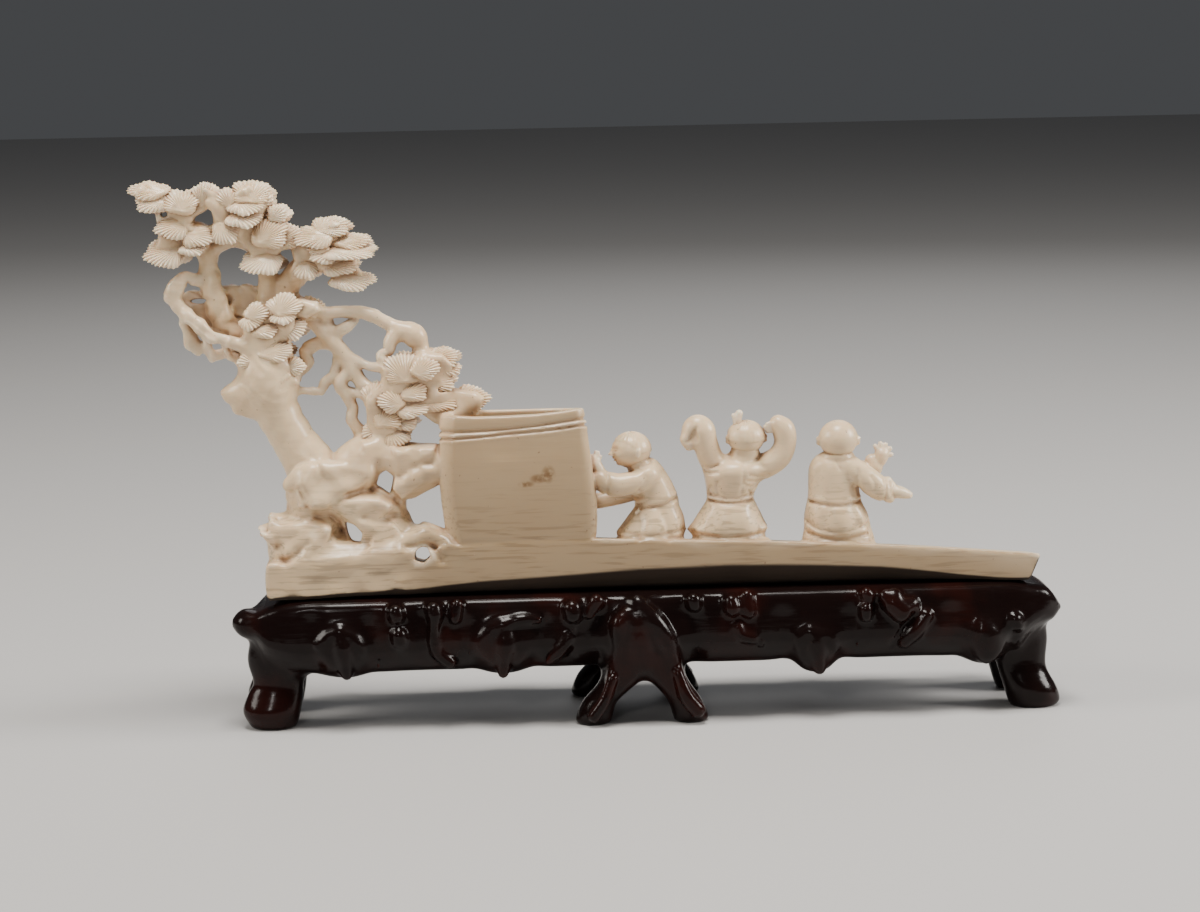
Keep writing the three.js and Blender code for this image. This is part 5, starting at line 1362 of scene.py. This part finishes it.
def dirt_and_painted_shade():
    """Hollows, broken by noise, as dirt and painted shade; raised edges, as wear and painted
    highlights.
    """
    group, start, end = node_group(
        "dirt_and_painted_shade",
        [("Vector", "NodeSocketVector", None), ("From", "NodeSocketFloat", 0.1),
         ("To", "NodeSocketFloat", 0.6), ("Patch scale", "NodeSocketFloat", 120.0)],
        [("Dirt_and_shade", "NodeSocketFloat"), ("Deep_dirt_and_shade", "NodeSocketFloat"), ("Worn_and_highlit", "NodeSocketFloat")])
    hollow = group.nodes.new("ShaderNodeAttribute")
    hollow.attribute_name = "hollow"
    raised = group.nodes.new("ShaderNodeAttribute")
    raised.attribute_name = "raised"
    patches = group.nodes.new("ShaderNodeTexNoise")
    patches.inputs["Detail"].default_value = 5.0
    group.links.new(start.outputs["Vector"], patches.inputs["Vector"])
    group.links.new(start.outputs["Patch scale"], patches.inputs["Scale"])
    patchy = times(group, math_node(group, "SUBTRACT", patches.outputs["Fac"], 0.5), 0.35)
    shifted = math_node(group, "ADD", hollow.outputs["Fac"], patchy)
    dirt_and_shade = group.nodes.new("ShaderNodeMapRange")
    dirt_and_shade.interpolation_type = "SMOOTHSTEP"
    group.links.new(shifted, dirt_and_shade.inputs["Value"])
    group.links.new(start.outputs["From"], dirt_and_shade.inputs["From Min"])
    group.links.new(start.outputs["To"], dirt_and_shade.inputs["From Max"])
    group.links.new(dirt_and_shade.outputs["Result"], end.inputs["Dirt_and_shade"])
    group.links.new(ramp_between(group, shifted, 0.45, 0.8), end.inputs["Deep_dirt_and_shade"])
    group.links.new(ramp_between(group, raised.outputs["Fac"], 0.25, 0.8), end.inputs["Worn_and_highlit"])
    return group


GRAIN = drawn_grain()
DIRT_AND_SHADE = dirt_and_painted_shade()


def placed_group(tree, group, vector, **values):
    """A node group put into a material, with its own values."""
    node = tree.nodes.new("ShaderNodeGroup")
    node.node_tree = group
    tree.links.new(vector, node.inputs["Vector"])
    for label, value in values.items():
        node.inputs[label.replace("_", " ")].default_value = value
    return node


IVORY_LIGHT = (0.740, 0.565, 0.355)
# Pale for worn edges, and for the painted highlights along them.
IVORY_PALE = (0.880, 0.770, 0.600)
IVORY_WARM = (0.640, 0.430, 0.255)
IVORY_SAWN = (0.310, 0.208, 0.110)
IVORY_FOOT = (0.215, 0.145, 0.072)
IVORY_GRAIN = (0.150, 0.090, 0.042)
# Tan and brown for the settled dirt and painted shade in the crevices.
IVORY_TAN = (0.400, 0.220, 0.120)
IVORY_BROWN = (0.125, 0.048, 0.020)
# Near black for the painted shade under the belly, with brown patina.
IVORY_BELLY_SHADE = (0.014, 0.006, 0.003)
IVORY_OCHRE = (0.150, 0.068, 0.018)
# Where each mask begins and is full, in metres. Heights that it reads downwards are negative.
SAWN_DEPTH = (0.0100, 0.0168)
BOYS_RIGHT_OF = (0.0, 0.004)
BOYS_ABOVE = (0.0445, 0.047)
ROCK_LEFT_OF = (0.040, 0.056)
GRAIN_BELOW = (-0.064, -0.046)
# The painted shade under the belly: below this height, and facing down this much.
BELLY_BELOW = (-0.0405, -0.0385)
BELLY_SLOPE = (0.04, 0.32)
CLEANER = 0.6
# Ovals on the vat's face: centre and half sizes in X and Z.
VAT_STAINS = [((-0.0138, 0.0617), (0.0019, 0.0024)), ((-0.0162, 0.0607), (0.0024, 0.0013)),
              ((-0.0192, 0.0594), (0.0022, 0.0009))]
GRAIN_SHARE = (0.06, 0.33)
IVORY_ROUGHNESS = (0.30, 0.58)
BELLY_ROUGHNESS = 0.95
GLOW_RADIUS = (1.0, 0.55, 0.30)
GLOW_DEPTH = 0.0012


def oval_mask(tree, x, z, centre, size):
    """1 in the middle of an oval on the sawn face and 0 at its edge, from X and Z."""
    u = math_node(tree, "DIVIDE", math_node(tree, "SUBTRACT", x, centre[0]), size[0])
    w = math_node(tree, "DIVIDE", math_node(tree, "SUBTRACT", z, centre[1]), size[1])
    square = math_node(tree, "ADD", times(tree, u, u), times(tree, w, w))
    return math_node(tree, "SUBTRACT", 1.0, square, clamp=True)


def sawn_mask(tree, x, y, z):
    """1 on the flat sawn face, and less on the boys and on the rock, which were cleaned more."""
    sawn = ramp_between(tree, times(tree, y, -1.0), *SAWN_DEPTH)
    boys = times(tree, ramp_between(tree, x, *BOYS_RIGHT_OF), ramp_between(tree, z, *BOYS_ABOVE))
    rock = ramp_between(tree, times(tree, x, -1.0), *ROCK_LEFT_OF)
    cleaned = math_node(tree, "ADD", times(tree, boys, CLEANER), times(tree, rock, CLEANER))
    return math_node(tree, "SUBTRACT", sawn, cleaned, clamp=True)


def belly_shade_mask(tree, z):
    """1 where the base faces down near its foot: painted shade under the belly, with brown patina.
    """
    normal = tree.nodes.new("ShaderNodeNewGeometry").outputs["Normal"]
    split = tree.nodes.new("ShaderNodeSeparateXYZ")
    tree.links.new(normal, split.inputs[0])
    under = ramp_between(tree, times(tree, split.outputs[2], -1.0), *BELLY_SLOPE)
    return times(tree, under, ramp_between(tree, times(tree, z, -1.0), *BELLY_BELOW))


def old_ivory():
    """
    Ivory with soft gloss: pale on worn edges, with painted highlights on them, warm in patches,
    tan and brown in crevices as settled dirt and painted shade, with drawn grain along the tusk,
    a stain on the vat and painted shade, near black, under the belly.
    """
    material, tree, shader, place = started_material("old_ivory")
    split = tree.nodes.new("ShaderNodeSeparateXYZ")
    tree.links.new(place, split.inputs[0])
    x, y, z = split.outputs
    grain = placed_group(tree, GRAIN, place, Lines=1100.0, Squeeze=0.07)
    dirt_and_shade = placed_group(tree, DIRT_AND_SHADE, place, From=0.08, To=0.66, Patch_scale=160.0)
    warm = ramp_between(tree, noise(tree, place, 38.0, 4.0), 0.42, 0.70)
    sawn = sawn_mask(tree, x, y, z)
    lower = ramp_between(tree, times(tree, z, -1.0), *GRAIN_BELOW)
    lines = ramp_between(tree, grain.outputs["Lines"], 0.50, 0.64)
    lines_share = math_node(tree, "ADD", times(tree, lower, GRAIN_SHARE[1]), GRAIN_SHARE[0])
    specks = ramp_between(tree, noise(tree, place, 900.0, 1.0), 0.74, 0.80)
    stain = 0.0
    for centre, size in VAT_STAINS:
        stain = math_node(tree, "ADD", oval_mask(tree, x, z, centre, size), stain, clamp=True)
    spotty = ramp_between(tree, noise(tree, place, 760.0, 3.0, 0.5), 0.24, 0.58)
    stain = times(tree, times(tree, stain, spotty), sawn)
    belly = belly_shade_mask(tree, z)
    colour = covered(tree, IVORY_LIGHT, [
        (warm, 0.42, IVORY_WARM),
        (sawn, 0.85, IVORY_SAWN),
        (times(tree, sawn, lower), 0.30, IVORY_FOOT),
        (lines, lines_share, IVORY_GRAIN),
        (specks, 0.55, IVORY_BROWN),
        # Pale on raised edges: wear, and painted highlights along them.
        (dirt_and_shade.outputs["Worn_and_highlit"], 0.55, IVORY_PALE),
        # Tan and brown in crevices and where forms meet: settled dirt and painted shade.
        (dirt_and_shade.outputs["Dirt_and_shade"], 0.50, IVORY_TAN),
        (dirt_and_shade.outputs["Deep_dirt_and_shade"], 0.35, IVORY_BROWN),
        (stain, 0.95, IVORY_OCHRE),
        # Painted shade, near black, where the base turns under, with brown patina.
        (belly, 0.97, IVORY_BELLY_SHADE),
    ])
    tree.links.new(colour, shader.inputs["Base Color"])
    shader.inputs["Specular IOR Level"].default_value = 0.5
    shader.inputs["Subsurface Weight"].default_value = 0.25
    shader.inputs["Subsurface Radius"].default_value = GLOW_RADIUS
    shader.inputs["Subsurface Scale"].default_value = GLOW_DEPTH
    rough = tree.nodes.new("ShaderNodeMapRange")
    rough.inputs["To Min"].default_value = IVORY_ROUGHNESS[0]
    rough.inputs["To Max"].default_value = IVORY_ROUGHNESS[1]
    tree.links.new(dirt_and_shade.outputs["Dirt_and_shade"], rough.inputs["Value"])
    dull = math_node(tree, "MAXIMUM", rough.outputs["Result"],
                     times(tree, belly, BELLY_ROUGHNESS))
    tree.links.new(dull, shader.inputs["Roughness"])
    add_bump(tree, shader, grain.outputs["Fine"], 0.12, 0.00015)
    return material


ivory = ivory_carving()
ivory.data.materials.clear()
ivory.data.materials.append(old_ivory())
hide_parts("ivory_carving")
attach(ivory, "root")


# Hardwood stand
# One piece carved like old roots: a slab with a rolled left end and a bevelled right end, a
# swelling apron with buds, knots and hooks over a slope that runs in to its lip, and eight feet.
# It is stained nearly black and polished to a deep gloss, which is worn red on the knots.
STAND_MIDDLE_Y = 2.4
SCALLOPS = (-62, -24.5, 9.4, 52.3, 92)
SCALLOP_DEPTH = 1.2
SCALLOP_WIDTH = 7.0
STAND_PITCH = 0.42
STAND_TRIANGLES = 90000
STAND_RELIEF_PITCH = 0.5
STAND_RELIEF_REACHES = (0.8, 1.8, 3.0)
STAND_PLAN = flowing([
    # x, lowest z, top z, front edge y, back edge y
    (-89, 25.4, 27, -9.5, -5.5), (-87.6, 23.4, 28.6, -11, -3.6), (-85, 22.2, 29.2, -12.4, -0.6),
    (-83.4, 20.6, 29.4, -13, 9), (-81, 16.6, 30.6, -13.8, 15), (-76, 14, 32, -15, 18.8),
    (-68, 13.4, 32.3, -15.8, 20.4), (-58, 13.4, 32.3, -16, 20.8), (10, 13.4, 32.3, -16, 20.8),
    (86, 13.4, 32.3, -16, 20.8), (95, 13.4, 32.3, -15.7, 19.4), (101, 14, 32.1, -15, 16.4),
    (105, 18, 31.4, -14, 11), (108.6, 20.6, 30.4, -12.8, 2), (110.8, 21.6, 28.2, -11.4, -3),
    (112.5, 23.4, 25.6, -9.6, -5.4),
], 3)
APRON_INSET = np.array([(0, 1.6), (0.05, 0.9), (0.13, 0.4), (0.26, -0.1), (0.42, -0.6),
                        (0.56, -0.95), (0.66, -0.7), (0.8, 0.8), (0.92, 2.5), (1, 3.7)])
BUD_INSET = np.array([(0, 0.3), (0.3, -0.6), (0.6, -0.6), (0.85, 0.6), (1, 1.6)])
LEFT_ROLL = ((-86.4, -8, 26.3), (3.3, 4.6, 3.3))
APRON_FRONT = (-24, -8)
APRON_BACK = (13, 28)


def slab_shape(x, y, z):
    """Soft intersection of the top, the scalloped underside and the two swelling aprons."""
    low, high, front, back = (read(STAND_PLAN, x, i) for i in (1, 2, 3, 4))
    for place in SCALLOPS:
        low = low - SCALLOP_DEPTH * (np.exp(-((x - place) / SCALLOP_WIDTH) ** 2) - 0.08)
    share = np.clip((high - z) / (high - low), 0, 1)
    inset = read(APRON_INSET, share)
    inset = inset * np.clip((high - low) / 14, 0.2, 1) * np.clip((back - front) / 20, 0.15, 1)
    sides = soft_max(front + inset - y, y - back + inset, 2.5) * 0.95
    ends = np.maximum(-89.2 - x, x - 112.8)
    return soft_max(soft_max(sides, np.maximum(z - high, low - z), 2.2), ends, 0.5)


def on_apron(rows, side, sunk):
    """Rows of (x, z, radius) laid on the apron's face, each sunk by a share of its radius."""
    table = flowing(rows, 4)
    low, high = read(STAND_PLAN, table[:, 0], 1), read(STAND_PLAN, table[:, 0], 2)
    share = np.clip((high - table[:, 1]) / (high - low), 0, 0.8)
    inset = read(BUD_INSET, share) + sunk * table[:, 2]
    edge = read(STAND_PLAN, table[:, 0], 3 if side < 0 else 4)
    y = edge - side * inset
    return np.column_stack([table[:, 0], y, table[:, 1], table[:, 2]])


LEGS = {
    "left": [(-80.6, 9.6, -0.6, 4.8, 3.4), (-80.8, 9.6, 1.2, 6.0, 4.8), (-81, 9.6, 4.4, 7.1, 5.8),
             (-80, 9.4, 8.4, 6.7, 4.6), (-79.2, 9.2, 11.4, 6.2, 4.1), (-79, 8.8, 17, 7.6, 5),
             (-78, 8.2, 24, 7.2, 5)],
    "middle_left": [(-2.4, 14.8, -0.6, 3.4, 3.0), (-2.6, 14.8, 1.2, 4.4, 4.1),
                    (-1, 14.8, 5.4, 4.3, 4.4), (3.4, 14.8, 10, 4.8, 4.6),
                    (7.4, 14.8, 17, 6.2, 5)],
    "middle_right": [(20.8, 14.8, -0.6, 3.4, 3.0), (21, 14.8, 1.2, 4.3, 4.1),
                     (19.4, 14.8, 5.4, 4.2, 4.4), (16, 14.8, 10, 4.6, 4.6),
                     (11.4, 14.8, 17, 6.2, 5)],
    "right": [(106, 9.6, -0.6, 5.0, 3.4), (106.4, 9.6, 1.4, 6.4, 4.9), (105.4, 9.6, 4.8, 6.5, 5.6),
              (103.4, 9.2, 10, 6.0, 4.2), (103, 8.2, 17, 6.9, 4.6), (101.6, 7.6, 24, 7.4, 4.6)],
}
# Buds on both aprons: a leaf that ends in a drop, and a ridge down each shoulder.
BUDS = [
    [[(-63.6, 25.2, 1.0), (-63.1, 21.4, 2.4), (-62.5, 17, 2.1), (-62.2, 14.4, 1.3)],
     [(-64, 25.2, 0.8), (-66.6, 23.6, 1.2), (-69, 22, 0.7)],
     [(-62.6, 25, 0.8), (-60.2, 22.8, 1.5), (-58.6, 20.6, 0.8)]],
    [[(-24, 24.4, 1.0), (-23.8, 20.8, 2.3), (-24.2, 16.6, 2.0), (-24.5, 13.8, 1.3)],
     [(-25, 25.9, 1.0), (-27.6, 24, 1.4), (-30, 21.4, 0.8)],
     [(-23.4, 26, 0.9), (-19.6, 27, 1.1), (-15.6, 26.6, 0.8)]],
    [[(50.2, 21.9, 1.0), (51.4, 18.4, 2.6), (52.2, 15, 2.1), (52.4, 12.4, 1.2)],
     [(49.8, 22, 0.9), (48, 20.4, 1.2), (47.2, 18.6, 0.7)],
     [(51.8, 21.6, 0.8), (54.2, 19.8, 1.4), (55.8, 17.6, 0.8)]],
    [[(92.2, 22.6, 1.2), (93, 18.6, 2.7), (93.3, 15.6, 2.0), (93.2, 13.8, 1.1)],
     [(91.4, 20.6, 1.0), (91.4, 17.6, 1.6), (92.2, 15.4, 1.2)],
     [(94.6, 20, 1.0), (95.6, 17, 1.6), (94.8, 15, 1.1)]],
]
# The boss between the middle feet, and its two ridges that run down into them.
BOSS = [
    [(8.4, 29.6, 2.6), (8.6, 24.6, 4.6), (9.0, 19, 4.4), (9.4, 15.4, 3.2)],
    [(9.6, 29, 1.4), (12, 25.6, 2.7), (15.2, 20.8, 2.4), (16.6, 16.2, 1.7), (17.8, 12.6, 1.5)],
    [(5.4, 27.6, 1.6), (3.8, 24.8, 2.3), (3.8, 18, 1.5), (1.8, 11.8, 1.3)],
]
BOSS_SUNK = (0.42, -0.05, -0.2)
# The swellings that the buds and the boss grow out of: x, z, half sizes across, deep and high.
BUD_MASSES = [(-62.8, 20.6, 5.6, 4.3, 5.8), (-24, 20.8, 7.2, 4.5, 6), (51.6, 17.6, 5.6, 4.4, 6),
              (93, 18.6, 5.2, 4.4, 5.8), (9.2, 20.5, 8.0, 2.8, 8.8)]
MASS_SINK = 3.0
KNOT_SWELL = 1.3
LEG_RIDGES = [[(17.8, -17.2, 12.6, 1.3), (19.6, -17.6, 7.4, 1.8), (22.4, -17.2, 3.6, 1.9)],
              [(1.8, -17.2, 11.8, 1.2), (-0.2, -17.7, 6.6, 1.4), (-2.8, -17.4, 2.8, 1.5)]]
# Knots, hooks and drops that only the front apron has.
FRONT_KNOTS = [
    [(-40.9, 29.9, 1.6), (-40.8, 28.7, 1.7)],
    [(-41, 26.4, 0.9), (-41.1, 22.6, 1.1), (-40.3, 19.4, 1.2), (-37.2, 16.8, 1.3)],
    [(-35.2, 31, 1.1), (-35.6, 27.6, 1.1)], [(-7.5, 29.2, 1.8), (-7.3, 28, 1.8)],
    [(-1.6, 30.8, 1.5), (-3.0, 27.6, 1.3)], [(31, 29.9, 1.4), (31.2, 28.4, 1.6)],
    [(34.8, 31.2, 1.2), (35.2, 27.4, 1.2)], [(32.4, 23.6, 0.8), (33.4, 21.6, 0.9), (36, 20.8, 0.9)],
    [(70.4, 28.4, 2.2), (72.4, 26.6, 2.3)], [(74.8, 28.2, 1.3), (75.2, 26.8, 1.1)],
    [(68.4, 30.4, 1.2), (70.6, 30.6, 1.3)],
    [(78.4, 25.2, 1.1), (75.8, 21.8, 1.4), (73, 18.6, 1.0)],
    [(100.1, 23.4, 1.3), (100.6, 22.2, 1.2)], [(8.3, 21, 1.8), (8.6, 20.2, 1.8)],
    [(-8.6, 22, 0.9), (-10.8, 19, 1.3), (-13.6, 16.4, 0.8)],
    [(-50, 29.6, 1.5), (-49.8, 28.6, 1.5)], [(-49.4, 24, 1.5), (-49.2, 22.8, 1.5)],
    [(21.8, 30.4, 1.5), (21.8, 29.2, 1.5)], [(63.5, 27, 1.4), (63.4, 25.8, 1.4)],
    [(63.8, 31, 1.2), (64.2, 30.4, 1.2)],
]
FRONT_DROPS = [(-54.6, 16.4), (-32.6, 19), (-7.5, 24.2), (-3.1, 20.6), (11.7, 14.5), (22.8, 18.1),
               (38.1, 19.5), (61.4, 18.2)]
APRON_GROOVES = [([(75, 26), (72, 21.4), (70.2, 17.8)], 0.8, 0.6),
                 ([(-43.4, 28), (-43.6, 22), (-42.6, 17.4)], 1.6, 0.6),
                 ([(-65.8, 23.4), (-65.2, 19.6), (-64.2, 16.6)], 1.3, 0.4),
                 ([(-61.2, 23.2), (-60.1, 19.6), (-60.6, 16.6)], 1.3, 0.4),
                 ([(-26.8, 24), (-26.8, 19.6), (-26, 16.4)], 1.3, 0.4),
                 ([(-21.4, 24.6), (-21, 19.6), (-22.4, 16.4)], 1.3, 0.4),
                 ([(49, 20.6), (48.8, 17.6), (50, 14.6)], 1.2, 0.35),
                 ([(53.8, 20), (54.6, 17.2), (54, 14.6)], 1.2, 0.35),
                 ([(-70.6, 27), (-71.4, 22), (-70, 17)], 2.6, 0.6),
                 ([(-56.4, 26), (-55.2, 21), (-56.6, 16)], 3.0, 0.65),
                 ([(-33.4, 25), (-33, 20), (-31, 15.6)], 3.0, 0.6),
                 ([(-14.6, 25), (-15, 20), (-17, 15.8)], 3.0, 0.65),
                 ([(-2, 27), (-3.2, 22), (-1.4, 17)], 2.4, 1.0),
                 ([(20.6, 27), (22.6, 22), (22, 17)], 2.8, 0.6),
                 ([(43.4, 25), (43.4, 19), (45, 14.6)], 3.2, 0.65),
                 ([(60.4, 25), (60.2, 19), (58.4, 14.6)], 3.0, 0.65),
                 ([(84.6, 25), (85, 20), (86.8, 15.8)], 3.0, 0.65),
                 ([(99.6, 19), (99.2, 15)], 1.8, 0.8)]


def stand_body():
    """The whole field of the stand: slab, legs, the buds of both aprons and the front's knots."""
    field = Field((-93.0, -24.0, -3.0), (117.0, 29.0, 36.0), STAND_PITCH)
    field.add(slab_shape, (-90, -18, 11), (114, 23, 33), 0.5)
    add_ball(field, *LEFT_ROLL)
    for side in (-1, 1):
        for rows in LEGS.values():
            add_column(field, [(x, STAND_MIDDLE_Y + side * out, z, rx, ry)
                               for x, out, z, rx, ry in rows], None, 3.0)
        for x, z, across, deep, high in BUD_MASSES:
            edge = read(STAND_PLAN, x, 3 if side < 0 else 4)
            add_ball(field, (x, float(edge) - side * MASS_SINK, z), (across, deep, high), soft=3.6)
        for rows in [line for bud in BUDS for line in bud]:
            add_limb(field, on_apron(rows, side, 0.05), 1.8, 1)
        for rows, sunk in zip(BOSS, BOSS_SUNK):
            add_limb(field, on_apron(rows, side, sunk), 1.4, 1)
    for rows in LEG_RIDGES:
        add_limb(field, rows, 1.2)
        add_limb(field, [(x, 2 * STAND_MIDDLE_Y - y, z, radius) for x, y, z, radius in rows], 1.2)
    for rows in FRONT_KNOTS:
        add_limb(field, on_apron([(x, z, KNOT_SWELL * r) for x, z, r in rows], -1, -0.05), 1.5, 1)
    for x, z in FRONT_DROPS:
        add_limb(field, on_apron([(x, z + 0.4, 0.85), (x, z - 0.4, 0.75)], -1, 0.2), 0.5, 1)
    for path, width, depth in APRON_GROOVES:
        field.engrave(path, width, depth, *APRON_FRONT)
        field.engrave(path, width, depth, *APRON_BACK)
    field.cut(lambda x, y, z: z + 0 * x + 0 * y, (-90, -22, -3), (115, 27, 0.5), 0.4)
    return field


def wood_stand():
    """The stand's field as a mesh of few faces."""
    body = thinned_body("wood_stand_fine", "stand", stand_body(), STAND_TRIANGLES)
    mesh = body.data
    mesh.polygons.foreach_set("use_smooth", np.ones(len(mesh.polygons), bool))
    keep_relief(mesh, *relief(mesh, STAND_RELIEF_PITCH, STAND_RELIEF_REACHES))
    return body


WOOD_DARK = (0.0060, 0.0028, 0.0025)
WOOD_RED = (0.030, 0.0055, 0.0035)
WOOD_DUST = (0.012, 0.009, 0.009)
BRUSH_MARKS = (0.3, 0.7)
WOOD_ROUGHNESS = (0.11, 0.24)


def polished_hardwood():
    """Hardwood: nearly black, red where it is worn, with drawn grain and fine brush marks."""
    material, tree, shader, place = started_material("polished_hardwood")
    grain = placed_group(tree, GRAIN, place, Lines=520.0, Squeeze=0.06)
    dirt_and_shade = placed_group(tree, DIRT_AND_SHADE, place, From=0.25, To=0.8, Patch_scale=90.0)
    patches = ramp_between(tree, noise(tree, place, 55.0, 3.0), 0.46, 0.66)
    lines = ramp_between(tree, grain.outputs["Lines"], 0.5, 0.7)
    # On the wood, the hollows' mask gives lighter dust and the edges' mask red wear.
    colour = covered(tree, WOOD_DARK, [
        (patches, 0.35, WOOD_RED),
        (dirt_and_shade.outputs["Worn_and_highlit"], 0.6, WOOD_RED),
        (lines, 0.35, WOOD_DARK),
        (dirt_and_shade.outputs["Dirt_and_shade"], 0.4, WOOD_DUST),
    ])
    tree.links.new(colour, shader.inputs["Base Color"])
    rough = tree.nodes.new("ShaderNodeMapRange")
    for name, value in zip(("From Min", "From Max", "To Min", "To Max"),
                           BRUSH_MARKS + WOOD_ROUGHNESS):
        rough.inputs[name].default_value = value
    tree.links.new(grain.outputs["Fine"], rough.inputs["Value"])
    tree.links.new(rough.outputs["Result"], shader.inputs["Roughness"])
    shader.inputs["Specular IOR Level"].default_value = 0.16
    add_bump(tree, shader, grain.outputs["Lines"], 0.35, 0.0002)
    return material


stand = wood_stand()
stand.data.materials.clear()
stand.data.materials.append(polished_hardwood())
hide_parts("wood_stand")
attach(stand, "root")
